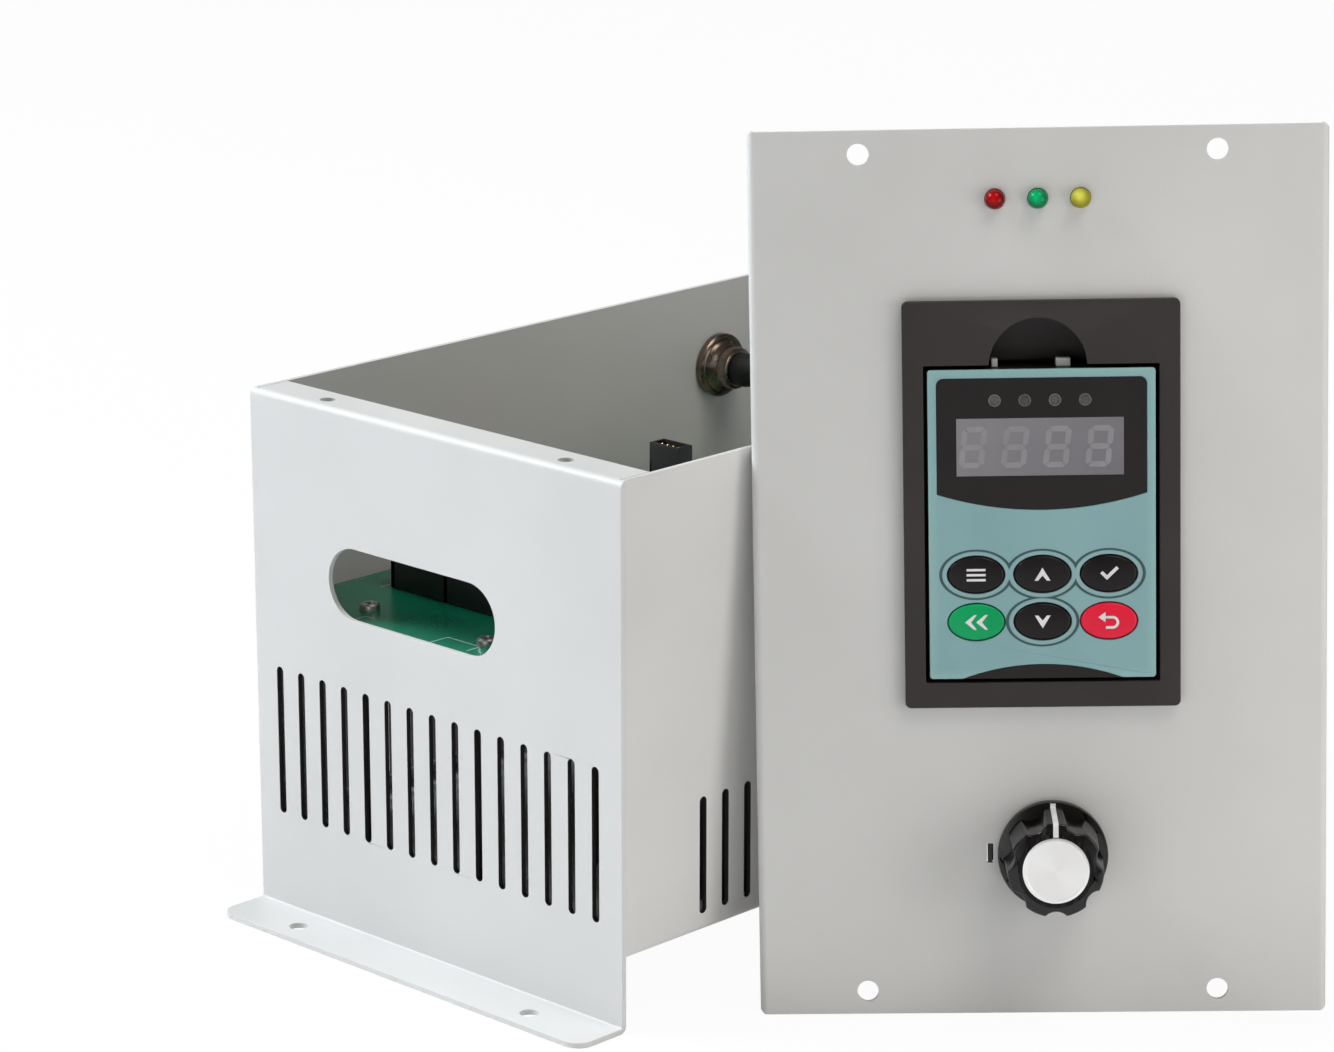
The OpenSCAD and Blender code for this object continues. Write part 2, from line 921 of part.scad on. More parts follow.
module socket_lead() {
    plug_top = socket_z - board_top - plug_size.z;
    color("black")
    at_socket() {
        translate([0, 0, lead_z])
            cylinder(d = lead_d, h = lead_run);
        translate([lead_bend_r, 0, lead_z + lead_run])
            rotate([90, 0, 0])
                rotate(90)
                    rotate_extrude(angle = 90)
                        translate([lead_bend_r, 0])
                            circle(d = lead_d);
        translate([lead_bend_r, 0, lead_down_z])
            rotate([0, 90, 0])
                cylinder(d = lead_d, h = plug_top - lead_bend_r);
    }
}

module lead_plug() {
    color("white")
    translate([lead_down_z - box_w / 2, front_y + socket_y, board_top + plug_size.z / 2])
        cube(plug_size, center = true);
}

module earth_screw() {
    color("goldenrod")
    at_earth_screw() {
        translate([0, 0, -earth_head_h])
            cylinder(d = earth_head_d, h = earth_head_h, $fn = 6);
        cylinder(d = earth_screw_d, h = earth_screw_len);
        translate([0, 0, sheet])
            cylinder(d = earth_head_d, h = earth_nut_h, $fn = 6);
    }
}

// Front cover. Its own frame has X across it, Y up it and Z out of its face, from its lower left corner.

cover_w = box_w + 2 * (cover_play + sheet);
cover_l = box_l + cover_extra_l;
cover_hole_v = lip_hole_inset + cover_extra_l / 2;
led_v = cover_l - led_inset;
holder_w = pad_w + holder_extra_w;
holder_h = pad_h + holder_extra_h;
holder_v = (knob_v + led_v) / 2 + holder_shift;
pad_v = holder_v - pad_drop;
lean_v = box_h / (cos(cover_lean) * cos(cover_roll));
lean_x = lean_v * (cos(cover_yaw) * sin(cover_roll) + sin(cover_yaw) * sin(cover_lean) * cos(cover_roll));
cover_foot_x = box_w / 2 + lean_gap + lean_x + cover_fold * sin(cover_yaw) * cos(cover_lean);
cover_foot_z = cover_fold * sin(cover_lean);

module at_cover(u = 0, v = 0) {
    // u counts from the cover's middle line and v from its lower edge
    translate([cover_foot_x, front_y + cover_foot_y, cover_foot_z])
        rotate([90 - cover_lean, 0, cover_yaw])
            rotate(cover_roll)
                translate([cover_w / 2 + u, v, 0])
                    children();
}

led_hole_play = 0.1;
led_flange_d = 1.16 * led_d;
led_flange_h = 1;
led_body_rise = 1;
led_tail = 5;
led_clip_wall = 1;
led_clip_h = 4;
pin_t = 0.6;
led_pin_gap = 2.5;
led_pin_len = 12;
tab_u = 16;
tab_w = 4.6;
tab_t = 1.2;
tab_slot_play = 0.2;
tab_arm_t = 1;
bush_hole_play = 0.15;
bush_rise = 7;
pot_h = 12;
shaft_tail = 9;
shaft_end_gap = 0.3;
pot_nut_d = 16;
pot_nut_h = 2.5;
knob_gap = 0.8;
skirt_h = 3;
knob_well_d = 18;
knob_well_h = 8;
lobe_r = 4.2;
lobe_ring_r = 8.2;
knob_core_r = 11.1;
shaft_seat = 16;
disc_t = 1.1;
disc_rise = 0.3;
pointer_w = 1.3;
pointer_t = 0.6;
pointer_rise = 0.05;
set_screw_d = 3;
set_screw_len = 6;
set_screw_z = 12;

module pocket_outline(grow) {
    // The keypad's pocket with the finger notch above it
    square([pad_w + 2 * (pad_gap + grow), pad_h + 2 * (pad_gap + grow)], center = true);
    translate([notch_shift, notch_rise])
        circle(r = notch_r + grow);
}

module front_cover() {
    color("gainsboro")
    difference() {
        at_cover(0, cover_l / 2)
            along_y(cover_l)
                mirror([0, 1])
                    difference() {
                        round_floor(cover_w, cover_fold, bend_r);
                        translate([0, sheet])
                            round_floor(cover_w - 2 * sheet, cover_fold, bend_r - sheet);
                    }
        for (s = [-1, 1], v = [cover_hole_v, cover_l - cover_hole_v])
            at_cover(s * hole_span / 2, v)
                translate([0, 0, -sheet - cut])
                    cylinder(d = cover_hole_d, h = sheet + 2 * cut);
        for (i = [-1 : 1])
            at_cover(i * led_pitch, led_v)
                translate([0, 0, -sheet - cut])
                    cylinder(d = led_d + 2 * led_hole_play, h = sheet + 2 * cut);
        at_cover(knob_u, knob_v)
            translate([0, 0, -sheet - cut])
                cylinder(d = bush_d + 2 * bush_hole_play, h = sheet + 2 * cut);
        at_cover(knob_u - tab_u, knob_v)
            cube([tab_t + 2 * tab_slot_play, tab_w + 2 * tab_slot_play, 4 * sheet], center = true);
        at_cover(pad_u, pad_v)
            translate([0, 0, -sheet - cut])
                linear_extrude(sheet + 2 * cut)
                    pocket_outline(holder_wall + holder_play);
        for (s = [-1, 1], v = [0, cover_l])
            at_cover(s * cover_w / 2, v)
                rotate(45)
                    cube([cover_corner, cover_corner, 4 * cover_fold], center = true);
    }
}

module led(u) {
    at_cover(u, led_v) {
        translate([0, 0, -sheet - led_tail])
            cylinder(d = led_d, h = sheet + led_tail + led_body_rise);
        translate([0, 0, led_body_rise])
            sphere(d = led_d);
        translate([0, 0, -sheet - led_flange_h])
            cylinder(d = led_flange_d, h = led_flange_h);
        for (s = [-1, 1])
            translate([s * led_pin_gap / 2, 0, -sheet - led_tail - led_pin_len / 2 + pin_t])
                cube([pin_t, pin_t, led_pin_len], center = true);
    }
}

module led_red() {
    color("red")
        led(-led_pitch);
}

module led_green() {
    color("green")
        led(0);
}

module led_yellow() {
    color("gold")
        led(led_pitch);
}

module led_clips() {
    color("black")
    for (i = [-1 : 1])
        at_cover(i * led_pitch, led_v)
            translate([0, 0, -sheet - led_clip_h])
                difference() {
                    cylinder(d = led_flange_d + 2 * led_clip_wall, h = led_clip_h);
                    translate([0, 0, -cut])
                        cylinder(d = led_flange_d, h = led_clip_h + 2 * cut);
                }
}

module pot_body() {
    arm_len = tab_u + tab_t / 2;
    color("silver")
    at_cover(knob_u, knob_v)
        difference() {
            union() {
                translate([0, 0, -sheet - pot_h])
                    cylinder(d = pot_d, h = pot_h);
                translate([0, 0, -sheet])
                    cylinder(d = bush_d, h = sheet + bush_rise);
                translate([-arm_len, -tab_w / 2, -sheet - tab_arm_t])
                    cube([arm_len, tab_w, tab_arm_t]);
                translate([-arm_len, -tab_w / 2, -sheet - tab_arm_t])
                    cube([tab_t, tab_w, sheet + tab_arm_t]);
            }
            translate([0, 0, -shaft_tail - shaft_end_gap])
                cylinder(d = shaft_d + 2 * shaft_play, h = shaft_tail + bush_rise + cut);
        }
}

module pot_nut() {
    color("silver")
    at_cover(knob_u, knob_v)
        difference() {
            cylinder(d = pot_nut_d, h = pot_nut_h, $fn = 6);
            translate([0, 0, -cut])
                cylinder(d = bush_d, h = pot_nut_h + 2 * cut);
        }
}

module pot_shaft() {
    color("silver")
    at_cover(knob_u, knob_v)
        translate([0, 0, -shaft_tail])
            cylinder(d = shaft_d, h = shaft_tail + shaft_seat);
}

module pointer_shape() {
    lobe_out = lobe_ring_r + lobe_r;
    skirt_top = knob_gap + skirt_h;
    at_cover(knob_u, knob_v)
        translate([-pointer_w / 2, 0, 0]) {
            translate([0, lobe_out - pointer_t, skirt_top - pointer_t])
                cube([pointer_w, skirt_d / 2 - lobe_out + pointer_t, pointer_t + pointer_rise]);
            translate([0, lobe_out - pointer_t, skirt_top - pointer_t])
                cube([pointer_w, pointer_t + pointer_rise, knob_h - skirt_top + pointer_t]);
            translate([0, disc_d / 2, knob_h - pointer_t])
                cube([pointer_w, lobe_out - disc_d / 2 + pointer_rise, pointer_t + pointer_rise]);
        }
}

module knob() {
    color("black")
    difference() {
        at_cover(knob_u, knob_v)
            difference() {
                union() {
                    translate([0, 0, knob_gap])
                        cylinder(d = skirt_d, h = skirt_h);
                    translate([0, 0, knob_gap])
                        linear_extrude(knob_h - knob_gap) {
                            circle(r = knob_core_r);
                            for (i = [0 : lobe_count - 1])
                                rotate(90 + i * 360 / lobe_count)
                                    translate([lobe_ring_r, 0])
                                        circle(r = lobe_r);
                        }
                }
                cylinder(d = knob_well_d, h = knob_well_h);
                cylinder(d = shaft_d, h = shaft_seat);
                translate([0, 0, knob_h - disc_t + disc_rise])
                    cylinder(d = disc_d, h = disc_t);
                translate([0, 0, set_screw_z])
                    rotate([90, 0, 0])
                        cylinder(d = set_screw_d, h = skirt_d);
            }
        pointer_shape();
    }
}

module knob_cap() {
    color("whitesmoke")
    at_cover(knob_u, knob_v)
        translate([0, 0, knob_h - disc_t + disc_rise])
            cylinder(d = disc_d, h = disc_t);
}

module knob_pointer() {
    color("white")
        pointer_shape();
}

module knob_set_screw() {
    color("dimgray")
    at_cover(knob_u, knob_v)
        translate([0, -shaft_d / 2, set_screw_z])
            rotate([90, 0, 0])
                cylinder(d = set_screw_d, h = set_screw_len);
}

// Keypad holder, keypad and keys

pad_u = 0.5;
holder_wall = 1.5;
holder_play = 0.2;
holder_corner_r = 1.5;
holder_ledge = 4;
holder_ledge_t = 1.6;
pad_back_gap = 0.3;
notch_depth = 8;
notch_shift = -0.8;
notch_rise = (pad_h + pad_gap) / 2;
notch_floor_t = 1.5;
pad_wall = 1.5;
pad_rise = 1.5;
face_t = 1.4;
face_corner_r = 0.8;
surround_w = 53;
surround_rise = 37.45;
surround_drop = 29.5;
surround_sag = 4.15;
surround_corner_r = 1.8;
surround_box_h = 2 * (surround_drop + surround_sag);
display_u = pad_u - 0.4;
window_w = 42.2;
window_rise = 19.9;
window_v = pad_v + window_rise;
display_h = 14.7;
lamp_d = 2.2;
lamp_pitch = 7.6;
lamp_rise = 31.8;
lamp_v = pad_v + lamp_rise;
lamp_play = 0.05;
foot_arc_w = 40.5;
foot_arc_h = 3.6;
foot_arc_v = pad_v - pad_h / 2;
face_deep = pad_rise + face_t;
circuit_z = -6;
circuit_play = 0.3;
post_d = 5;
post_inset = 5;
switch_w = 6;
switch_play = 0.3;
pad_plug_size = [16, 14];
pad_plug_play = 0.2;
pad_plug_inset = 11.85;
pad_plug_v = pad_v - pad_h / 2 + pad_plug_inset;
latch_h = 2.2;
latch_depth = 3;
latch_sink = 3.5;
latch_inset = 0.8;
latch_left_u = notch_shift - notch_r + latch_inset;
latch_left_w = 1.6;
latch_right_u = 3.8;
latch_right_w = 3.8;
key_row_drop = 12.75;
key_row_v = pad_v - key_row_drop;
key_rise = 0.5;
key_flange = 0.8;
key_flange_h = 0.8;
key_drop = 0.3;
key_low = pad_rise - key_drop - key_flange_h;

function ellipse_outline(w, h, n = 48) =
    [for (i = [0 : n - 1]) [w / 2 * cos(i * 360 / n), h / 2 * sin(i * 360 / n)]];

module sagging_panel(w, h, sag) {
    // Rectangle with its top edge on Y = 0 whose lower edge bulges down by sag
    arc_r = (pow(w / 2, 2) + pow(sag, 2)) / (2 * sag);
    intersection() {
        translate([-w / 2, -h - sag])
            square([w, h + sag]);
        translate([0, arc_r - h - sag])
            circle(r = arc_r, $fn = 180);
    }
}

module keypad_holder() {
    sleeve_depth = pad_depth + pad_back_gap + holder_ledge_t;
    color("dimgray")
    difference() {
        union() {
            at_cover(pad_u, holder_v)
                linear_extrude(holder_face)
                    rounded_rect(holder_w, holder_h, holder_corner_r);
            at_cover(pad_u, pad_v) {
                translate([0, 0, -sleeve_depth])
                    linear_extrude(sleeve_depth)
                        square([
                            pad_w + 2 * (pad_gap + holder_wall),
                            pad_h + 2 * (pad_gap + holder_wall)
                        ], center = true);
                translate([notch_shift, notch_rise, -notch_depth - notch_floor_t])
                    cylinder(r = notch_r + holder_wall, h = notch_depth + notch_floor_t);
            }
        }
        at_cover(pad_u, pad_v) {
            translate([0, 0, -pad_depth - pad_back_gap])
                linear_extrude(sleeve_depth + holder_face)
                    square([pad_w + 2 * pad_gap, pad_h + 2 * pad_gap], center = true);
            translate([0, 0, -sleeve_depth - cut])
                linear_extrude(sleeve_depth)
                    square([pad_w - 2 * holder_ledge, pad_h - 2 * holder_ledge], center = true);
            translate([notch_shift, notch_rise, -notch_depth])
                cylinder(r = notch_r, h = notch_depth + holder_face + cut);
        }
    }
}

module keypad_shell() {
    color("black")
    at_cover(pad_u, pad_v) {
        difference() {
            translate([0, 0, -pad_depth])
                linear_extrude(pad_depth + pad_rise)
                    rounded_rect(pad_w, pad_h, face_corner_r);
            translate([0, 0, -pad_depth + pad_wall])
                linear_extrude(pad_depth + pad_rise)
                    square([pad_w - 2 * pad_wall, pad_h - 2 * pad_wall], center = true);
            translate([0, pad_plug_v - pad_v, -pad_depth])
                cube([
                    pad_plug_size.x + 2 * pad_plug_play,
                    pad_plug_size.y + 2 * pad_plug_play,
                    4 * pad_wall
                ], center = true);
        }
        for (sx = [-1, 1], sy = [-1, 1])
            translate([sx * (pad_w / 2 - post_inset), sy * (pad_h / 2 - post_inset), -pad_depth])
                cylinder(d = post_d, h = pad_depth + circuit_z);
    }
}

module surround_outline() {
    intersection() {
        translate([0, surround_rise])
            sagging_panel(surround_w, surround_drop, surround_sag);
        translate([0, surround_rise - surround_box_h / 2])
            rounded_rect(surround_w, surround_box_h, surround_corner_r);
    }
    translate([0, foot_arc_v - pad_v])
        intersection() {
            mirror([0, 1])
                sagging_panel(foot_arc_w, 0, foot_arc_h);
            translate([-foot_arc_w / 2, 0])
                square([foot_arc_w, foot_arc_h]);
        }
}

module keypad_face() {
    color("cadetblue")
    difference() {
        at_cover(pad_u, pad_v)
            translate([0, 0, pad_rise])
                linear_extrude(face_t)
                    difference() {
                        rounded_rect(pad_w, pad_h, face_corner_r);
                        surround_outline();
                    }
        for (col = [-1 : 1], row = [0, 1])
            at_key(col, row)
                linear_extrude(face_deep + cut)
                    polygon(ellipse_outline(key_w + 2 * key_gap, key_h + 2 * key_gap));
    }
}

module display_surround() {
    color("black")
    difference() {
        at_cover(pad_u, pad_v)
            translate([0, 0, pad_rise])
                linear_extrude(face_t)
                    surround_outline();
        at_cover(display_u, window_v)
            cube([window_w, display_h, 4 * face_deep], center = true);
        for (i = [0 : 3])
            at_cover(display_u + (i - 3 / 2) * lamp_pitch, lamp_v)
                cylinder(d = lamp_d + 2 * lamp_play, h = face_deep + cut);
    }
}

module display_window() {
    color("gray")
    at_cover(display_u, window_v)
        translate([0, 0, pad_rise + face_t / 2])
            cube([window_w, display_h, face_t], center = true);
}

module display_module() {
    module_h = pad_rise - circuit_z - board_t;
    color("white")
    at_cover(display_u, window_v)
        translate([0, 0, pad_rise - module_h / 2])
            cube([window_w, display_h, module_h], center = true);
}

module indicator_lamps() {
    color("gray")
    for (i = [0 : 3])
        at_cover(display_u + (i - 3 / 2) * lamp_pitch, lamp_v)
            translate([0, 0, circuit_z + board_t])
                cylinder(d = lamp_d, h = face_deep - circuit_z - board_t);
}

module keypad_board() {
    color("seagreen")
    at_cover(pad_u, pad_v)
        translate([0, 0, circuit_z + board_t / 2])
            cube([
                pad_w - 2 * (pad_wall + circuit_play),
                pad_h - 2 * (pad_wall + circuit_play),
                board_t
            ], center = true);
}

module at_key(col, row) {
    at_cover(pad_u + col * key_pitch_u, key_row_v - row * key_pitch_v)
        children();
}

module key_switches() {
    // Each is as high as leaves the key above it its travel
    switch_h = key_low - key_travel - switch_play - circuit_z - board_t;
    color("silver")
    for (col = [-1 : 1], row = [0, 1])
        at_key(col, row)
            translate([0, 0, circuit_z + board_t + switch_h / 2])
                cube([switch_w, switch_w, switch_h], center = true);
}

module keypad_plug() {
    plug_h = pad_depth + circuit_z;
    color("black")
    at_cover(pad_u, pad_plug_v)
        translate([0, 0, -pad_depth + plug_h / 2])
            cube([pad_plug_size.x, pad_plug_size.y, plug_h], center = true);
}

module keypad_latches() {
    color("silver")
    for (place = [[latch_left_u, latch_left_w], [latch_right_u, latch_right_w]])
        at_cover(pad_u + place.x, pad_v + pad_h / 2)
            translate([0, 0, pad_rise - latch_sink - latch_depth])
                cube([place.y, latch_h, latch_depth]);
}

module key(col, row) {
    at_key(col, row) {
        translate([0, 0, key_low])
            linear_extrude(face_deep + key_rise - key_low)
                polygon(ellipse_outline(key_w, key_h));
        translate([0, 0, key_low])
            linear_extrude(key_flange_h)
                polygon(ellipse_outline(key_w + 2 * key_flange, key_h + 2 * key_flange));
    }
}

module key_menu() {
    color("black")
        key(-1, 0);
}

module key_up() {
    color("black")
        key(0, 0);
}

module key_confirm() {
    color("black")
        key(1, 0);
}

module key_shift() {
    color("limegreen")
        key(-1, 1);
}

module key_down() {
    color("black")
        key(0, 1);
}

module key_stop() {
    color("crimson")
        key(1, 1);
}

tray();
front_end_plate();
rear_end_plate();
heatsink();
heatsink_screws();
igbt_module();
rectifier_bridge();
module_screws();
power_board();
board_pillars();
board_screws();
bus_capacitors();
filter_choke();
supply_transformer();
terminal_block();
terminal_screws();
control_board();
control_header();
resonant_capacitor();
fan_frame();
fan_bearing();
fan_screws();
fan_rotor();
socket_shell();
socket_nut();
socket_insert();
socket_boot();
socket_lead();
lead_plug();
earth_screw();
front_cover();
keypad_holder();
led_red();
led_green();
led_yellow();
led_clips();
pot_body();
pot_nut();
pot_shaft();
knob();
knob_cap();
knob_pointer();
knob_set_screw();
keypad_shell();
keypad_face();
display_surround();
display_window();
display_module();
indicator_lamps();
keypad_board();
key_switches();
keypad_plug();
keypad_latches();
key_menu();
key_up();
key_confirm();
key_shift();
key_down();
key_stop();
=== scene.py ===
import json
import math

import bmesh
import bpy
from mathutils import Matrix, Vector


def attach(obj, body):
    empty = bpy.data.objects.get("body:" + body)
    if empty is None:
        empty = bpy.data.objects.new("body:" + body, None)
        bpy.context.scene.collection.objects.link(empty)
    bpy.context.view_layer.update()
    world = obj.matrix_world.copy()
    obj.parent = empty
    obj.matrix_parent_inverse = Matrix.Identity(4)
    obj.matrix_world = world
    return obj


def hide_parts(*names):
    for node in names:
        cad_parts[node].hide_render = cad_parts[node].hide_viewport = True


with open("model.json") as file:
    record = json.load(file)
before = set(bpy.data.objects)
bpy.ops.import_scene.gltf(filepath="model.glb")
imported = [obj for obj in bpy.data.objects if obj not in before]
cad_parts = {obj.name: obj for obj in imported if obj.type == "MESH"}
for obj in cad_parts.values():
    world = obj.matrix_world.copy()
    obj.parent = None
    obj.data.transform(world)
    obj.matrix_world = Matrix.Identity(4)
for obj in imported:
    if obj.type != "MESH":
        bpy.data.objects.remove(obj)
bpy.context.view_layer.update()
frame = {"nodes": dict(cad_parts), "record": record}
nodes = frame["nodes"]
bodyOfNode = {name: body for body, names in frame["record"]["behaviour"]["bodies"].items() for name in names}
mm = 0.001
print("frame loaded:", len(nodes), "nodes")


def at(x, y, z=0.0):  # a place in millimetres
    return Matrix.Translation((x * mm, y * mm, z * mm))


def about(degrees, axis):
    return Matrix.Rotation(math.radians(degrees), 4, axis)


def shown(name, data):
    thing = bpy.data.objects.new(name, data)
    bpy.context.scene.collection.objects.link(thing)
    return thing


def meshOf(bm, name):
    mesh = bpy.data.meshes.new(name)
    bm.to_mesh(mesh)
    bm.free()
    return mesh


# Camera, solved from the box's and the cover's edges
cameraSetup = {
    "place": (798.11, -853.05, 428.43),  # millimetres
    "yaw": 43.94,
    "pitch": -15.76,
    "focalPixels": 4341.45,
    "frameWidth": 1334,
}


def makeCamera(setup):
    data = bpy.data.cameras.new("camera")
    data.sensor_width = 36
    data.lens = setup["focalPixels"] / setup["frameWidth"] * 36
    data.clip_start, data.clip_end = 0.05, 20
    camera = shown("camera", data)
    camera.location = Vector(setup["place"]) * mm
    camera.rotation_euler = (math.radians(90 + setup["pitch"]), 0, math.radians(setup["yaw"]))
    bpy.context.scene.camera = camera


makeCamera(cameraSetup)

# Where the leaning cover stands: its own X runs across it from the middle line, Y up it, Z out of its face
coverPose = {"foot": (87.3978, -80.5, 0.566), "yaw": 41.5, "lean": 6.5, "roll": 1.4, "width": 145.8}


def coverMatrix(pose):
    turn = about(pose["yaw"], "Z") @ about(90 - pose["lean"], "X") @ about(pose["roll"], "Z")
    return at(*pose["foot"]) @ turn @ at(pose["width"] / 2, 0)


onCover = coverMatrix(coverPose)

# Places on the cover, across from its middle line and up from its lower edge
coverPlaces = {
    "knob": (2.8, 42.4),
    "leds": {"row": 210.8, "pitch": 10.75},
    "keypad": (0.5, 128.35),
    "keys": {"firstRow": 115.6, "pitch": (16.8, 12.2)},
    "window": (0.1, 148.25),
    "lamps": {"row": 160.15, "pitch": 7.6},
}


def coverSpot(across, up, out=0.0):
    return onCover @ at(across, up, out)


def keySpot(column, row):
    keys = coverPlaces["keys"]
    return coverSpot(coverPlaces["keypad"][0] + column * keys["pitch"][0], keys["firstRow"] - row * keys["pitch"][1])


def tint(*values):  # from 0 to 255 picture values to the renderer's own
    return tuple(c / 12.92 if c <= 0.04045 else ((c + 0.055) / 1.055) ** 2.4 for c in (v / 255 for v in values)) + (1,)


# Node building

def addNode(tree, kind, settings=None, **sockets):
    made = tree.nodes.new("ShaderNode" + kind)
    for key, value in (settings or {}).items():
        setattr(made, key, value)
    for key, value in sockets.items():
        feed(tree, made, key if not key.startswith("in") else int(key[2:]), value)
    return made


def feed(tree, made, socket, value):
    target = made.inputs[socket.replace("_", " ") if isinstance(socket, str) else socket]
    if isinstance(value, bpy.types.NodeSocket):
        tree.links.new(value, target)
    else:
        target.default_value = value


def newGroup(name, inputs, outputs):
    group = bpy.data.node_groups.new(name, "ShaderNodeTree")
    for way, sockets in (("INPUT", inputs), ("OUTPUT", outputs)):
        for label, kind in sockets.items():
            group.interface.new_socket(label, in_out=way, socket_type="NodeSocket" + kind)
    return group, group.nodes.new("NodeGroupInput").outputs, group.nodes.new("NodeGroupOutput").inputs


def math2(tree, operation, a, b=0.0):
    return addNode(tree, "Math", {"operation": operation}, in0=a, in1=b).outputs[0]


def times(tree, a, b):
    return math2(tree, "MULTIPLY", a, b)


def nearTo(tree, value, target, within):  # 1 where the value lies near the target
    return addNode(tree, "Math", {"operation": "COMPARE"}, in0=value, in1=target, in2=within).outputs[0]


def vectorMath(tree, operation, a, b=(0, 0, 0)):
    return addNode(tree, "VectorMath", {"operation": operation}, in0=a, in1=b).outputs[0]


def lengthOf(tree, vector):
    return addNode(tree, "VectorMath", {"operation": "LENGTH"}, in0=vector).outputs[1]


def noiseOn(tree, vector, scale, detail, rough=0.5):
    return addNode(tree, "TexNoise", Vector=vector, Scale=scale, Detail=detail, Roughness=rough).outputs[0]


def mixColour(tree, factor, a, b):
    made = addNode(tree, "Mix", {"data_type": "RGBA"})
    feed(tree, made, 0, factor)
    feed(tree, made, 6, a)
    feed(tree, made, 7, b)
    return made.outputs[2]


def spread(tree, value, low, high, toLow=0.0, toHigh=1.0):
    made = addNode(tree, "MapRange", Value=value, From_Min=low, From_Max=high, To_Min=toLow, To_Max=toHigh)
    return made.outputs[0]


def makeGrainGroup():  # colour drift in soft patches, fine specks and a pebbled height
    group, given, result = newGroup(
        "grain",
        {"Vector": "Vector", "Light": "Color", "Dark": "Color", "Patch scale": "Float", "Grain scale": "Float",
         "Speck": "Float", "Rough low": "Float", "Rough high": "Float"},
        {"Colour": "Color", "Roughness": "Float", "Height": "Float"})
    patch, grain = (
        noiseOn(group, given["Vector"], given[scale], detail, rough)
        for scale, detail, rough in (("Patch scale", 3.0, 0.55), ("Grain scale", 2.0, 0.6)))
    drift = spread(group, patch, 0.3, 0.7)
    speck = times(group, spread(group, grain, 0.62, 0.75), given["Speck"])
    colour = mixColour(group, drift, given["Dark"], given["Light"])
    group.links.new(mixColour(group, speck, colour, given["Dark"]), result["Colour"])
    both = math2(group, "ADD", patch, times(group, grain, 0.5))
    group.links.new(spread(group, both, 0.5, 1.0, given["Rough low"], given["Rough high"]), result["Roughness"])
    group.links.new(grain, result["Height"])
    return group


def makeRingGroup():  # turning marks round the Z axis of the vector, and a painted sheen in sectors round it
    group, given, result = newGroup(
        "turnedRings", {"Vector": "Vector", "Pitch": "Float", "Wobble": "Float"},
        {"Height": "Float", "Mask": "Float", "Sector": "Float"})
    radius = lengthOf(group, vectorMath(group, "MULTIPLY", given["Vector"], (1, 1, 0)))
    rounds = math2(group, "DIVIDE", radius, given["Pitch"])
    noise = addNode(group, "TexNoise", {"noise_dimensions": "1D"}, W=rounds, Scale=0.7, Detail=3.0)
    ring = math2(group, "SINE", math2(group, "DIVIDE", times(group, radius, 6.2832), given["Pitch"]))
    height = math2(group, "ADD", times(group, ring, 0.5), times(group, noise.outputs[0], given["Wobble"]))
    group.links.new(height, result["Height"])
    group.links.new(noise.outputs[0], result["Mask"])
    # painted sheen: lighter and darker sectors by angle round the axis
    parts = addNode(group, "SeparateXYZ", Vector=given["Vector"])
    angle = math2(group, "ARCTAN2", parts.outputs[1], parts.outputs[0])
    paintedSheen = math2(group, "ABSOLUTE", math2(group, "SINE", math2(group, "ADD", angle, 0.6)))
    group.links.new(paintedSheen, result["Sector"])
    return group


# Tracks of the boards: pads and patches per metre, then shares of a cell
traceLook = {
    "padScale": 394.0, "patchScale": 45.0, "lines": 9.0, "lineHalf": 0.14, "padRadius": 0.24, "printAt": 0.34,
    "printHalf": 0.009,
}


def makeTraceGroup(look):  # nested tracks, rows of round pads and thin square outlines, each kept to its own patches
    group, given, result = newGroup(
        "tracks", {"Vector": "Vector", "Scale": "Float"}, {"Mask": "Float", "Pads": "Float", "Print": "Float"})
    cells, grid = (
        addNode(group, "TexVoronoi", {"distance": kind}, Vector=given["Vector"], Scale=scale, Randomness=loose)
        for kind, scale, loose in (("CHEBYCHEV", given["Scale"], 0.8), ("EUCLIDEAN", look["padScale"], 0.0)))
    patch = noiseOn(group, given["Vector"], look["patchScale"], 1.0)
    away = cells.outputs["Distance"]
    line = nearTo(group, math2(group, "FRACT", times(group, away, look["lines"])), 0.5, look["lineHalf"])
    pads = math2(group, "LESS_THAN", grid.outputs["Distance"], look["padRadius"])
    outline = nearTo(group, away, look["printAt"], look["printHalf"])
    for name, shape, test, level in (
            ("Mask", line, "GREATER_THAN", 0.47), ("Pads", pads, "GREATER_THAN", 0.6),
            ("Print", outline, "LESS_THAN", 0.5)):
        group.links.new(times(group, shape, math2(group, test, patch, level)), result[name])
    return group


grainGroup = makeGrainGroup()
ringGroup = makeRingGroup()
traceGroup = makeTraceGroup(traceLook)


finishes = {}


def newMaterial(name, settings):
    material = finishes[name] = bpy.data.materials.new(name)
    material.use_nodes = True
    tree = material.node_tree
    shader = tree.nodes["Principled BSDF"]
    for socket, value in settings.items():
        shader.inputs[socket].default_value = value
    return tree, shader


def useGroup(tree, group, **sockets):
    made = addNode(tree, "Group", {"node_tree": group})
    for key, value in sockets.items():
        feed(tree, made, key, value)
    return made


def dress(tree, shader, colour, rough, height, strength, depth):  # depth in millimetres
    bump = addNode(tree, "Bump", Height=height, Strength=strength, Distance=depth * mm)
    for socket, value in (("Base Color", colour), ("Roughness", rough), ("Normal", bump.outputs[0])):
        feed(tree, shader, socket, value)


def objectVector(tree, matrix=None):
    vector = addNode(tree, "TexCoord").outputs["Object"]
    if matrix is None:
        return vector
    inverse = matrix.inverted()
    return addNode(
        tree, "Mapping", Vector=vector, Location=inverse.to_translation(), Rotation=inverse.to_euler("XYZ")).outputs[0]


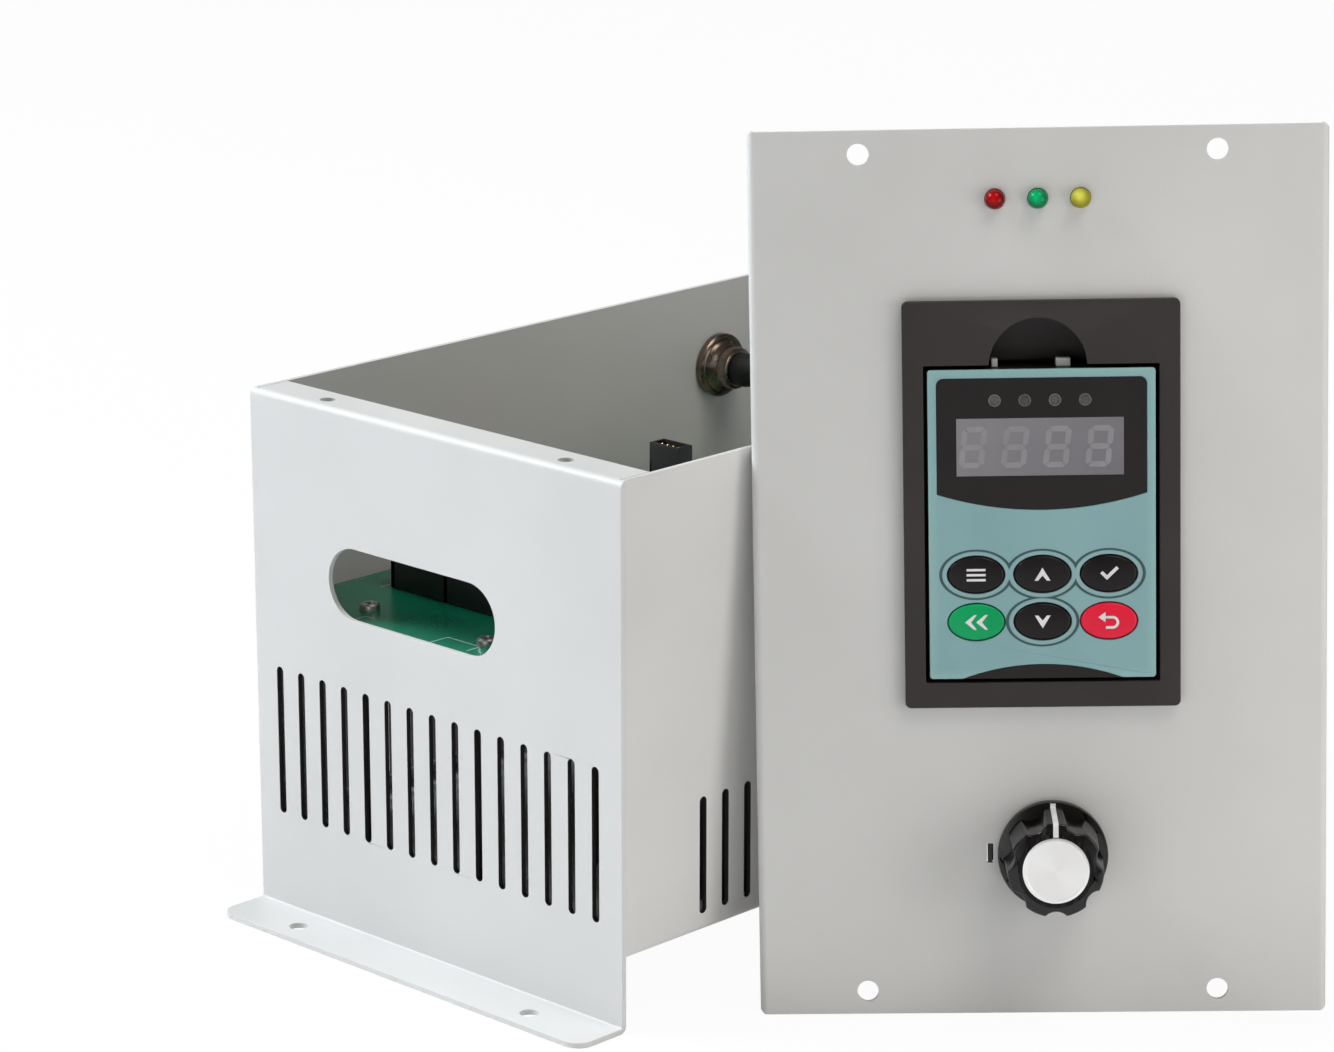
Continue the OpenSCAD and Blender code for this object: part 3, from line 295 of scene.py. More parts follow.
def grainOn(tree, vector, light, dark, patch, grain, speck, rough):
    return useGroup(
        tree, grainGroup, Vector=vector, Light=tint(*light), Dark=tint(*dark), Patch_scale=patch,
        Grain_scale=grain, Speck=speck, Rough_low=rough[0], Rough_high=rough[1]).outputs


# Finishes that are grain over two near colours. Each row has light, dark, patch scale, grain scale, speck,
# roughness from and to, bump depth in millimetres and what the shader has besides
grainFinishes = {
    "powderCoat": ((216, 216, 215), (209, 209, 208), 14, 1100, 0.1, (0.42, 0.55), 0.035, {"Specular IOR Level": 0.4}),
    # painted shade on the cut edges inside the vent slots
    "slotEdge": ((54, 52, 51), (42, 40, 40), 60, 1500, 0.2, (0.5, 0.65), 0.01, {"Specular IOR Level": 0.2}),
    "bezelPlastic": ((52, 48, 47), (44, 40, 39), 30, 2500, 0.2, (0.48, 0.6), 0.03, {"Specular IOR Level": 0.35}),
    "blackPlastic": ((34, 33, 33), (24, 23, 24), 40, 2200, 0.2, (0.4, 0.55), 0.02),
    "modulePlastic": ((66, 68, 72), (50, 52, 56), 50, 1500, 0.3, (0.55, 0.7), 0.03),
    "panelBlack": ((29, 26, 25), (23, 20, 20), 40, 2500, 0.1, (0.4, 0.5), 0.008, {"Specular IOR Level": 0.3}),
    "keyBlack": ((24, 19, 21), (17, 13, 15), 60, 3000, 0.1, (0.3, 0.42), 0.006, {"Specular IOR Level": 0.25}),
    "keyGreen": ((0, 168, 100), (0, 156, 91), 80, 3000, 0.1, (0.3, 0.42), 0.006, {"Specular IOR Level": 0.25}),
    "keyRed": ((237, 34, 66), (226, 28, 58), 80, 3000, 0.1, (0.3, 0.42), 0.006, {"Specular IOR Level": 0.25}),
    "whitePrint": ((232, 234, 234), (214, 217, 218), 200, 4000, 0.2, (0.4, 0.5), 0.004),
    "knobGloss": ((15, 12, 12), (9, 7, 7), 60, 700, 0.2, (0.18, 0.28), 0.01, {
        "Specular IOR Level": 0.4, "Coat Weight": 0.1, "Coat Roughness": 0.08}),
    "zincSteel": ((205, 204, 200), (176, 175, 172), 160, 2600, 0.25, (0.25, 0.42), 0.008, {"Metallic": 1.0}),
    # heatsink: black anodising, this dark partly as painted shade seen through the vent slots
    "anodised": ((44, 43, 43), (32, 31, 32), 30, 1800, 0.2, (0.38, 0.5), 0.01, {"Metallic": 0.3}),
    "brass": ((214, 178, 108), (186, 148, 82), 90, 2000, 0.2, (0.22, 0.38), 0.006, {"Metallic": 1.0}),
    "nickelBrass": ((150, 136, 124), (112, 98, 86), 120, 1800, 0.3, (0.18, 0.32), 0.006, {"Metallic": 1.0}),
    "whitePlastic": ((226, 224, 216), (214, 212, 203), 50, 2000, 0.2, (0.4, 0.55), 0.01),
    "rubberBlack": ((30, 29, 30), (20, 19, 20), 60, 1600, 0.3, (0.5, 0.68), 0.03),
    "capSleeve": ((26, 34, 58), (18, 25, 46), 30, 900, 0.1, (0.2, 0.32), 0.01, {"Coat Weight": 0.3}),
    "pottingAmber": ((176, 116, 44), (150, 94, 34), 60, 1200, 0.2, (0.25, 0.4), 0.02),
    "yellowTape": ((222, 186, 62), (206, 168, 48), 60, 900, 0.1, (0.25, 0.4), 0.015),
    "ferrite": ((64, 62, 62), (48, 46, 47), 90, 1400, 0.4, (0.5, 0.7), 0.03),
    "digitGrey": ((148, 146, 150), (138, 136, 141), 90, 2500, 0.1, (0.3, 0.4), 0.004),
    "lampGrey": ((104, 99, 96), (80, 76, 74), 300, 3000, 0.2, (0.3, 0.4), 0.004),
    "resistorBlue": ((92, 142, 178), (72, 122, 160), 200, 2500, 0.2, (0.3, 0.42), 0.01),
    "discTan": ((196, 138, 70), (176, 118, 54), 200, 2500, 0.2, (0.35, 0.5), 0.02),
    "filmYellow": ((214, 196, 92), (200, 180, 76), 200, 2500, 0.2, (0.35, 0.5), 0.02),
    "sleeveStripe": ((176, 182, 190), (160, 166, 176), 80, 1500, 0.1, (0.2, 0.32), 0.01, {"Coat Weight": 0.3}),
    "canAluminium": ((206, 207, 208), (190, 191, 193), 120, 2400, 0.2, (0.25, 0.4), 0.008, {"Metallic": 1.0}),
    "lampClear": ((96, 91, 88), (72, 68, 66), 300, 3000, 0.2, (0.15, 0.3), 0.004, {"Coat Weight": 0.5}),
}


def makeGrainFinish(name, light, dark, patch, grain, speck, rough, depth, settings=None):
    tree, shader = newMaterial(name, settings or {})
    made = grainOn(tree, objectVector(tree), light, dark, patch, grain, speck, rough)
    dress(tree, shader, made["Colour"], made["Roughness"], made["Height"], 0.6, depth)


for name, row in grainFinishes.items():
    makeGrainFinish(name, *row)


def makeLaminate():  # green solder mask over tracks, with bare pads and a white print
    tree, shader = newMaterial("laminate", {"Coat Weight": 0.25, "Coat Roughness": 0.2})
    vector = objectVector(tree)
    tracks = useGroup(tree, traceGroup, Vector=vector, Scale=55.0).outputs
    grain = grainOn(tree, vector, (8, 130, 98), (3, 110, 84), 30.0, 1500.0, 0.1, (0.25, 0.4))
    colour = mixColour(tree, times(tree, tracks["Mask"], 0.35), grain["Colour"], tint(22, 140, 106))
    colour = mixColour(tree, times(tree, tracks["Print"], 0.8), colour, tint(225, 235, 228))
    colour = mixColour(tree, tracks["Pads"], colour, tint(190, 192, 190))
    feed(tree, shader, "Metallic", times(tree, tracks["Pads"], 0.9))
    dress(tree, shader, colour, grain["Roughness"], math2(tree, "ADD", tracks["Mask"], tracks["Pads"]), 0.4, 0.035)


def makeTurnedDisc(matrix):  # bright aluminium with turning marks and a painted sheen, lighter in sectors round its middle
    tree, shader = newMaterial("turnedDisc", {"Metallic": 0.65})
    rings = useGroup(tree, ringGroup, Vector=objectVector(tree, matrix), Pitch=0.00022, Wobble=0.8).outputs
    # painted sheen: the disc is lighter in sectors round its middle
    bright = spread(tree, rings["Sector"], 0.0, 1.0, 0.0, 0.6)
    colour = mixColour(tree, bright, tint(252, 252, 252), tint(240, 239, 238))
    dress(tree, shader, colour, spread(tree, rings["Mask"], 0.3, 0.7, 0.3, 0.46), rings["Height"], 0.35, 0.012)


# Lens look: where the painted glow's bright spot sits and how far it fades out, in millimetres
lensLook = {"scatter": 2.0, "cupAt": (-0.4, 0.5), "cupEdge": (0.8, 2.6), "ripple": 0.8}


def makeLens(name, column, deep, bright, look):  # tinted epoxy with a painted glow: brighter over a spot near its middle, standing in for light off the cup behind
    tree, shader = newMaterial(name, {
        "Specular IOR Level": 0.14, "Subsurface Weight": 0.2, "Subsurface Radius": (look["scatter"] * mm,) * 3,
        "Subsurface Scale": 1.0})
    leds = coverPlaces["leds"]
    local = objectVector(tree, coverSpot(column * leds["pitch"], leds["row"]))
    noise = noiseOn(tree, local, 520.0, 1.0)
    shifted = vectorMath(tree, "SUBTRACT", local, [v * mm for v in look["cupAt"]] + [0])
    away = lengthOf(tree, vectorMath(tree, "MULTIPLY", shifted, (1, 1, 0)))
    away = math2(tree, "ADD", away, times(tree, noise, look["ripple"] * mm))
    # painted glow: the lens is lighter over a spot near its middle
    cup = spread(tree, away, look["cupEdge"][0] * mm, look["cupEdge"][1] * mm, 1.0, 0.0)
    dress(tree, shader, mixColour(tree, cup, tint(*deep), tint(*bright)), 0.2, noise, 0.1, 0.01)


# Keypad face look; the paler edge tint and the band it covers are a painted highlight
keypadLook = {
    "half": (28.7, 39.65), "ringHalf": (8.95, 6.25), "ringed": ((-1, 0), (0, 0), (1, 0), (0, 1)), "stroke": 0.045,
    "rim": (0.4, 2.6), "rimTint": (150, 190, 186), "haloTint": (150, 178, 180), "lineTint": (30, 62, 66),
}


def makeKeypadTeal(look):  # teal face with a painted highlight along its edges and thin dark outlines round four keys
    tree, shader = newMaterial("keypadTeal", {"Specular IOR Level": 0.45})
    vector = objectVector(tree)
    local = objectVector(tree, coverSpot(*coverPlaces["keypad"]))
    grain = grainOn(tree, vector, (137, 176, 179), (130, 169, 173), 40.0, 1800.0, 0.1, (0.38, 0.5))
    nearest = 9.0
    keys = coverPlaces["keys"]
    ring = tuple(1 / (half * mm) for half in look["ringHalf"]) + (0,)
    for column, row in look["ringed"]:
        up = keys["firstRow"] - row * keys["pitch"][1] - coverPlaces["keypad"][1]
        shifted = vectorMath(tree, "SUBTRACT", local, (column * keys["pitch"][0] * mm, up * mm, 0))
        nearest = math2(tree, "MINIMUM", lengthOf(tree, vectorMath(tree, "MULTIPLY", shifted, ring)), nearest)
    parts = addNode(tree, "SeparateXYZ", Vector=local)
    inside = [
        math2(tree, "SUBTRACT", half * mm, math2(tree, "ABSOLUTE", part))
        for half, part in zip(look["half"], parts.outputs)]
    # painted highlight: the face is paler towards its edges
    rim = spread(tree, math2(tree, "MINIMUM", *inside), look["rim"][0] * mm, look["rim"][1] * mm, 0.55, 0.0)
    colour = mixColour(tree, rim, grain["Colour"], tint(*look["rimTint"]))
    colour = mixColour(tree, spread(tree, nearest, 0.86, 0.95, 0.6, 0.0), colour, tint(*look["haloTint"]))
    outline = nearTo(tree, nearest, 1.0, look["stroke"])
    colour = mixColour(tree, times(tree, outline, 0.9), colour, tint(*look["lineTint"]))
    dress(tree, shader, colour, grain["Roughness"], grain["Height"], 0.4, 0.01)


def makeDisplayFilter():  # grey window with a painted reflection, a little paler to the upper left
    tree, shader = newMaterial("displayFilter", {"Coat Weight": 0.3, "Coat Roughness": 0.1})
    local = objectVector(tree, coverSpot(*coverPlaces["window"]))
    parts = addNode(tree, "SeparateXYZ", Vector=local)
    # painted reflection: lighter towards the upper left
    paintedReflection = spread(tree, math2(tree, "SUBTRACT", times(tree, parts.outputs[1], 1.2), parts.outputs[0]), -0.026, 0.026)
    noise = noiseOn(tree, local, 160.0, 2.0)
    paintedReflection = math2(tree, "ADD", times(tree, paintedReflection, 0.8), times(tree, noise, 0.3))
    colour = mixColour(tree, paintedReflection, tint(108, 106, 112), tint(134, 132, 137))
    dress(tree, shader, colour, spread(tree, noise, 0.3, 0.7, 0.28, 0.4), noise, 0.1, 0.01)


knobPlace = coverSpot(*coverPlaces["knob"])
makeLaminate()
makeTurnedDisc(knobPlace)
# Each lens: its own colour at the rim, then the lighter colour of its painted glow
makeLens("redLens", -1, (108, 3, 6), (190, 14, 18), lensLook)
makeLens("greenLens", 0, (0, 114, 68), (2, 190, 116), lensLook)
makeLens("yellowLens", 1, (144, 140, 16), (224, 222, 92), lensLook)
makeKeypadTeal(keypadLook)
makeDisplayFilter()
print("finishes:", len(finishes))


# Pieces

def newPiece(name, bm, finish, node=None, place=None, body=None, bevel=0.0, sharp=35):
    mesh = meshOf(bm, name)
    if place is not None:
        mesh.transform(place)
    for made in (finish if isinstance(finish, (list, tuple)) else [finish]):
        mesh.materials.append(finishes[made])
    for face in mesh.polygons:
        face.use_smooth = True
    mesh.set_sharp_from_angle(angle=math.radians(sharp))
    piece = shown(name, mesh)
    if bevel:
        rounding = piece.modifiers.new("rounding", "BEVEL")
        rounding.width = bevel * mm
        rounding.segments = 2
        rounding.limit_method = "ANGLE"
        rounding.angle_limit = math.radians(sharp)
        rounding.use_clamp_overlap = False
        rounding.harden_normals = True
    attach(piece, body or bodyOfNode[node])
    if node:
        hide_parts(node)


# Vent slots in the sheets, whose cut edges get a painted shade: axis across the sheet, height band, half width of the
# row and most area of a cut edge
sheetSlots = {
    "front_end_plate": {"axis": 1, "band": (28, 70.4), "half": 62, "area": 80},
    "tray": {"axis": 0, "band": (24.8, 57.2), "half": 86, "area": 80},
}


def shadeSlotEdges(bm, axis, band, half, area):  # the cut edges of the slots take the second finish, a painted shade
    for face in bm.faces:
        middle = face.calc_center_median() / mm
        inRow = band[0] < middle.z < band[1] and abs(middle[1 - axis]) < half
        if inRow and abs(face.normal[axis]) < 0.5 and face.calc_area() < area * mm * mm:
            face.material_index = 1


merging = {"gap": 2e-6, "flat": 0.6}  # metres and degrees


def roundedNode(name, finish, bevel):  # a merged copy of a CAD node with its edges eased
    bm = bmesh.new()
    bm.from_mesh(nodes[name].data)
    bmesh.ops.remove_doubles(bm, verts=bm.verts, dist=merging["gap"])
    bmesh.ops.dissolve_limit(
        bm, angle_limit=math.radians(merging["flat"]), verts=bm.verts, edges=bm.edges, use_dissolve_boundaries=False)
    if name in sheetSlots:
        shadeSlotEdges(bm, **sheetSlots[name])
        # the slots' cut edges get the painted shade
        finish = (finish, "slotEdge")
    newPiece(name + "Eased", bm, finish, name, bevel=bevel, sharp=32)


def arc(radius, turns, x=0.0, y=0.0):  # points on a circle at the given angles in degrees
    return [(x + radius * math.cos(math.radians(a)), y + radius * math.sin(math.radians(a))) for a in turns]


def newVerts(made):
    return [v for v in made["geom"] if isinstance(v, bmesh.types.BMVert)]


def tinted(bm, index):
    for face in bm.faces:
        face.material_index = index
    return bm


def turned(outline, steps=48, index=0):  # a list of (radius, height) points in millimetres spun round Z
    bm = bmesh.new()
    verts = [bm.verts.new((radius * mm, 0, height * mm)) for radius, height in outline]
    edges = [bm.edges.new(pair) for pair in zip(verts, verts[1:])]
    bmesh.ops.spin(
        bm, geom=verts + edges, cent=(0, 0, 0), axis=(0, 0, 1), angle=math.tau, steps=steps, use_merge=True,
        use_duplicate=False)
    bmesh.ops.remove_doubles(bm, verts=bm.verts, dist=1e-7)
    bmesh.ops.recalc_face_normals(bm, faces=bm.faces)
    return tinted(bm, index)


def slab(bm, points, vector):  # an outline of points in metres drawn out along a vector
    face = bm.faces.new([bm.verts.new(point) for point in points])
    made = bmesh.ops.extrude_face_region(bm, geom=[face])
    bmesh.ops.translate(bm, vec=vector, verts=newVerts(made))
    bmesh.ops.recalc_face_normals(bm, faces=bm.faces)


def flatShape(bm, points, thick, low=0.0):  # an outline in XY made a slab, in millimetres
    slab(bm, [(x * mm, y * mm, low * mm) for x, y in points], (0, 0, thick * mm))


def addPart(bm, part, matrix):  # puts one small mesh into a bigger one
    part.transform(matrix)
    held = meshOf(part, "held")
    bm.from_mesh(held)
    bpy.data.meshes.remove(held)


# What keeps its CAD shape: finish and edge radius
easedNodes = {
    "tray": ("powderCoat", 0.12), "front_end_plate": ("powderCoat", 0.12), "rear_end_plate": ("powderCoat", 0.12),
    "front_cover": ("powderCoat", 0.12), "heatsink": ("anodised", 0.2), "igbt_module": ("modulePlastic", 0.3),
    "rectifier_bridge": ("blackPlastic", 0.5), "power_board": ("laminate", 0.1),
    "board_pillars": ("blackPlastic", 0.15), "control_board": ("laminate", 0.1),
    "resonant_capacitor": ("modulePlastic", 1.0), "fan_frame": ("blackPlastic", 0.4), "fan_bearing": ("brass", 0.1),
    "socket_insert": ("blackPlastic", 0.1), "lead_plug": ("whitePlastic", 0.4),
    # the pot body is black partly as painted shade in the slot it shows through
    "keypad_holder": ("bezelPlastic", 0.3), "led_clips": ("blackPlastic", 0.2), "pot_body": ("blackPlastic", 0.2),
    "pot_nut": ("zincSteel", 0.25), "pot_shaft": ("canAluminium", 0.2), "knob_set_screw": ("zincSteel", 0.2),
    "keypad_shell": ("blackPlastic", 0.2), "keypad_face": ("keypadTeal", 0.25),
    "display_surround": ("panelBlack", 0.06), "display_window": ("displayFilter", 0.06),
    "display_module": ("whitePlastic", 0.1), "keypad_board": ("laminate", 0.1), "key_switches": ("zincSteel", 0.2),
    # the latches are white partly as painted glints at the notch
    "keypad_plug": ("blackPlastic", 0.3), "keypad_latches": ("whitePrint", 0.3), "socket_lead": ("rubberBlack", 0.0),
    "earth_screw": ("brass", 0.2), "indicator_lamps": ("lampClear", 0.1),
}
for name, (finish, bevel) in easedNodes.items():
    roundedNode(name, finish, bevel)
print("CAD pieces eased:", len(easedNodes))

# Signs on the keys, in the key's own plane, each point in millimetres
keySigns = {
    "height": 3.4,  # of a key's top over the cover's face
    "thick": 0.05,
    "up": ((0, 1.7), (2.0, -1.6), (1.1, -1.6), (0, -0.3), (-1.1, -1.6), (-2.0, -1.6)),
    "shift": ((-2.9, 0), (-0.6, 1.9), (0.1, 1.9), (-1.4, 0), (0.1, -1.9), (-0.6, -1.9)),
    "bar": ((-2.4, -0.3), (2.4, -0.3), (2.4, 0.3), (-2.4, 0.3)),
    "tick": ((-2.2, 0.1), (-1.6, 0.7), (-0.5, -0.4), (1.9, 1.9), (2.5, 1.3), (-0.5, -1.6)),
    "head": ((-2.7, 1.0), (-0.9, 2.3), (-0.9, -0.3)),
}


def signOn(name, column, row, shapes, body):
    bm = bmesh.new()
    for points in shapes:
        flatShape(bm, points, keySigns["thick"], keySigns["height"])
    newPiece(name, bm, "whitePrint", None, keySpot(column, row), body, sharp=32)


def returnArrow():
    inner = arc(1.0, range(90, -91, -15), 0.9, -0.35)
    outer = arc(1.65, range(-90, 91, 15), 0.9, -0.35)
    return [keySigns["head"], inner + [(-0.8, -1.35), (-0.8, -2.0)] + outer + [(-1.0, 1.3), (-1.0, 0.65)]]


signOn("menuSign", -1, 0, [[(x, y + step) for x, y in keySigns["bar"]] for step in (-1.3, 0, 1.3)], "menu_key")
signOn("upSign", 0, 0, [keySigns["up"]], "up_key")
signOn("confirmSign", 1, 0, [keySigns["tick"]], "confirm_key")
signOn("shiftSign", -1, 1, [keySigns["shift"], [(x + 2.8, y) for x, y in keySigns["shift"]]], "shift_key")
signOn("downSign", 0, 1, [[(x, -y) for x, y in keySigns["up"][::-1]]], "down_key")
signOn("returnSign", 1, 1, returnArrow(), "stop_key")
print("key signs made")

# Knob: fluted body on a round skirt, a turned disc in its top and a pointer that steps down over the edge
knobLook = {
    "height": 20.0, "gap": 0.8, "skirtRadius": 14.1, "skirtHeight": 3.0, "radius": 12.2, "baseRadius": 12.6,
    "flutes": 7, "fluteRadius": 3.9, "fluteDepth": 1.45, "topEdge": 0.7, "discRadius": 8.5, "discRise": 0.3,
    "discThick": 1.1, "wellRadius": 9.0, "wellHeight": 8.0, "pointerWidth": 1.35, "pointerThick": 0.35, "steps": 168,
}


def ringOf(bm, radius, height, segments, shape=None):
    made = bmesh.ops.create_circle(bm, segments=segments, radius=radius * mm)["verts"]
    bmesh.ops.translate(bm, vec=(0, 0, height * mm), verts=made)
    if shape:
        for v in made:
            v.co.x, v.co.y = shape(v.co.x, v.co.y)
    return made


def ringEdges(verts):
    wanted = set(verts)
    return [e for e in {edge for v in verts for edge in v.link_edges} if e.verts[0] in wanted and e.verts[1] in wanted]


def skinRings(bm, rings):  # walls between neighbouring rings of the same count
    for low, high in zip(rings, rings[1:]):
        bmesh.ops.bridge_loops(bm, edges=ringEdges(low) + ringEdges(high))


def closeRing(bm, verts):
    bmesh.ops.contextual_create(bm, geom=ringEdges(verts))


def skinClosed(bm, rings):
    skinRings(bm, rings)
    closeRing(bm, rings[0])
    closeRing(bm, rings[-1])
    bmesh.ops.recalc_face_normals(bm, faces=bm.faces)


def roundOver(edge, turns):  # how far in and up a rounded edge is at each angle
    return [(edge * (1 - math.cos(math.radians(a))), edge * math.sin(math.radians(a))) for a in turns]


def fluted(look, grow=0.0):  # turns a round ring into the fluted one
    step = math.tau / look["flutes"]
    reach = look["fluteRadius"] * mm
    centre = (look["radius"] - look["fluteDepth"] + look["fluteRadius"]) * mm

    def shape(x, y):
        radius = math.hypot(x, y)
        away = (math.atan2(y, x) - math.pi / 2) % step - step / 2
        side = centre * math.sin(away)
        if abs(side) < reach:
            cutTo = centre * math.cos(away) - math.sqrt(reach ** 2 - side ** 2)
            kept = min(radius, cutTo + grow * mm)
            return x * kept / radius, y * kept / radius
        return x, y
    return shape


def makeKnob(look):
    gap, skirt, base, radius = look["gap"], look["skirtRadius"], look["baseRadius"], look["radius"]
    top, edge, seat, well = look["height"], look["topEdge"], look["discRadius"], look["wellRadius"]
    skirtTop = gap + look["skirtHeight"]
    flute = fluted(look)
    bm = bmesh.new()
    levels = [
        (well, gap + look["wellHeight"]), (well, gap), (skirt - 0.3, gap), (skirt, gap + 0.3), (skirt, skirtTop - 0.45),
        (skirt - 0.15, skirtTop - 0.12), (skirt - 0.5, skirtTop),
        (base + 0.2, skirtTop, flute), (base, skirtTop + 0.3, flute), (radius, top - edge, flute)]
    over = roundOver(edge, (30, 60, 90))
    levels += [(radius - inward, top - edge + up, fluted(look, -inward)) for inward, up in over]
    levels += [(seat + 1.1, top), (seat + 0.85, top - 0.18), (seat + 0.25, top - 0.18), (seat + 0.05, top - 0.9)]
    skinClosed(bm, [ringOf(bm, level[0], level[1], look["steps"], *level[2:]) for level in levels])
    newPiece("knobBody", bm, "knobGloss", "knob", knobPlace, sharp=38)

    high = top + look["discRise"]
    low = high - look["discThick"]
    disc = [
        (0, low), (seat, low), (seat, high - 0.35), (seat - 0.12, high - 0.1), (seat - 0.4, high),
        (seat - 0.9, high), (seat - 1.0, high - 0.06), (0, high - 0.06)]
    newPiece("knobDisc", turned(disc, 96), "turnedDisc", "knob_cap", knobPlace, sharp=28)

    bm = bmesh.new()
    thick, half = look["pointerThick"], look["pointerWidth"] / 2
    tip = radius + 0.06
    rise = skirtTop + 0.05
    outer = [
        (skirt - 0.15, rise - 0.25), (skirt - 0.5, rise), (base + 0.45, rise), (base + 0.12, rise + 0.3),
        (tip, top - edge)]
    outer += [(tip - inward, top - edge + up + 0.05) for inward, up in over]
    outer += [(seat + 1.1, top + 0.05), (seat + 0.2, top + 0.05)]
    inner = [(y - thick * 0.7, z - thick * 0.7) for y, z in outer]
    slab(bm, [(-half * mm, y * mm, z * mm) for y, z in outer + inner[::-1]], (2 * half * mm, 0, 0))
    newPiece("knobPointer", bm, "whitePrint", "knob_pointer", knobPlace, sharp=40)


makeKnob(knobLook)
print("knob made")

# Lamps in the cover: moulded lens with its collar, over two legs
ledLook = {
    "radius": 2.5, "rise": 1.0, "tail": 6.5, "collar": 2.9, "collarTop": -1.5, "leg": (0.5, 0.5, 12.0), "legSpan": 1.25,
}


def makeLed(name, column, finish, look):
    radius, tail, collar, under = look["radius"], look["tail"], look["collar"], look["collarTop"]
    low = [
        (0, -tail), (radius - 0.3, -tail), (radius, -tail + 0.3), (radius, under - 1), (collar, under - 1),
        (collar, under), (radius, under)]
    bm = turned(low + arc(radius, range(0, 90, 10), 0, look["rise"]) + [(0, look["rise"] + radius)])
    for side in (-1, 1):
        leg = bmesh.new()
        bmesh.ops.create_cube(leg, size=1)
        bmesh.ops.scale(leg, vec=[v * mm for v in look["leg"]], verts=leg.verts)
        addPart(bm, tinted(leg, 1), at(side * look["legSpan"], 0, 0.1 - tail - look["leg"][2] / 2))
    leds = coverPlaces["leds"]
    place = coverSpot(column * leds["pitch"], leds["row"])
    newPiece(name + "Lens", bm, (finish, "zincSteel"), name, place, sharp=30)


for name, column, finish in (
        ("led_red", -1, "redLens"), ("led_green", 0, "greenLens"), ("led_yellow", 1, "yellowLens")):
    makeLed(name, column, finish, ledLook)
print("cover lamps made")

# Small keypad pieces: caps of the keys, rings round the lamps, digits under the window
keypadParts = {
    "width": 14.2, "height": 9.3, "top": 3.4, "low": 0.4, "round": 0.55, "crown": 0.22, "skirt": 0.8,
    "skirtHeight": 0.8,
}


def ovalRing(bm, width, height, level, steps=64):
    made = bmesh.ops.create_circle(bm, segments=steps, radius=1.0)["verts"]
    bmesh.ops.scale(bm, vec=(width / 2 * mm, height / 2 * mm, 1), verts=made)
    bmesh.ops.translate(bm, vec=(0, 0, level * mm), verts=made)
    return made


def makeKey(node, column, row, finish, look):
    bm = bmesh.new()
    width, height, top, edge = look["width"], look["height"], look["top"], look["round"]
    low, skirt, crown = look["low"], 2 * look["skirt"], look["crown"]
    step = low + look["skirtHeight"]
    levels = [(width + skirt, height + skirt, low), (width + skirt, height + skirt, step), (width, height, step)]
    for inward, up in roundOver(edge, (0, 25, 50, 75, 90)):
        levels.append((width - 2 * inward, height - 2 * inward, top - crown - edge + up))
    for share in (0.8, 0.55, 0.3):
        levels.append(((width - 2 * edge) * share, (height - 2 * edge) * share, top - crown * share ** 2))
    skinClosed(bm, [ovalRing(bm, *level) for level in levels])
    newPiece(node.replace("_", "") + "Cap", bm, finish, node, keySpot(column, row), sharp=50)


for node, column, row, finish in (
        ("key_menu", -1, 0, "keyBlack"), ("key_up", 0, 0, "keyBlack"), ("key_confirm", 1, 0, "keyBlack"),
        ("key_shift", -1, 1, "keyGreen"), ("key_down", 0, 1, "keyBlack"), ("key_stop", 1, 1, "keyRed")):
    makeKey(node, column, row, finish, keypadParts)
print("key caps made")

# Four-figure display, unlit: every segment shows faintly through the filter
displayLook = {
    "shift": -0.95, "level": 2.915, "pitch": 10.65, "width": 6.4, "height": 10.6, "stroke": 1.45, "slant": 0.11,
    "thick": 0.02,
}


def makeDigits(look):
    bm = bmesh.new()
    half, tall, stroke = look["width"] / 2, look["height"] / 2, look["stroke"]
    near, far, side = half - stroke * 0.95, half - stroke * 0.45, stroke / 2
    bars = []
    for middle in (side - tall, 0, tall - side):
        bars.append([
            (-far, middle), (-near, middle + side), (near, middle + side), (far, middle), (near, middle - side),
            (-near, middle - side)])
    for x in (side - half, half - side):
        for low, high in ((-tall + stroke * 0.25, -stroke * 0.12), (stroke * 0.12, tall - stroke * 0.25)):
            first, last = low + stroke * 0.6, high - stroke * 0.6
            bars.append([
                (x, low + stroke * 0.1), (x + side, first), (x + side, last), (x, high - stroke * 0.1),
                (x - side, last), (x - side, first)])
    for place in range(4):
        shift = (place - 1.5) * look["pitch"] + look["shift"]
        for bar in bars:
            flatShape(bm, [(x + y * look["slant"] + shift, y) for x, y in bar], look["thick"])
    place = coverSpot(*coverPlaces["window"], look["level"])
    newPiece("displayDigits", bm, "digitGrey", None, place, "keypad", sharp=32)


makeDigits(displayLook)

lampRing = ((1.16, 2.7), (1.16, 2.98), (1.26, 3.06), (1.48, 3.06), (1.58, 2.98), (1.58, 2.9), (1.16, 2.7))


def makeLampRings():  # a raised collar round each of the four small lamps
    bm = bmesh.new()
    lamps = coverPlaces["lamps"]
    for place in range(4):
        addPart(bm, turned(lampRing, 36), at(coverPlaces["window"][0] + (place - 1.5) * lamps["pitch"], lamps["row"]))
    newPiece("lampRings", bm, "lampGrey", None, onCover, "keypad", sharp=40)


makeLampRings()
print("display made")

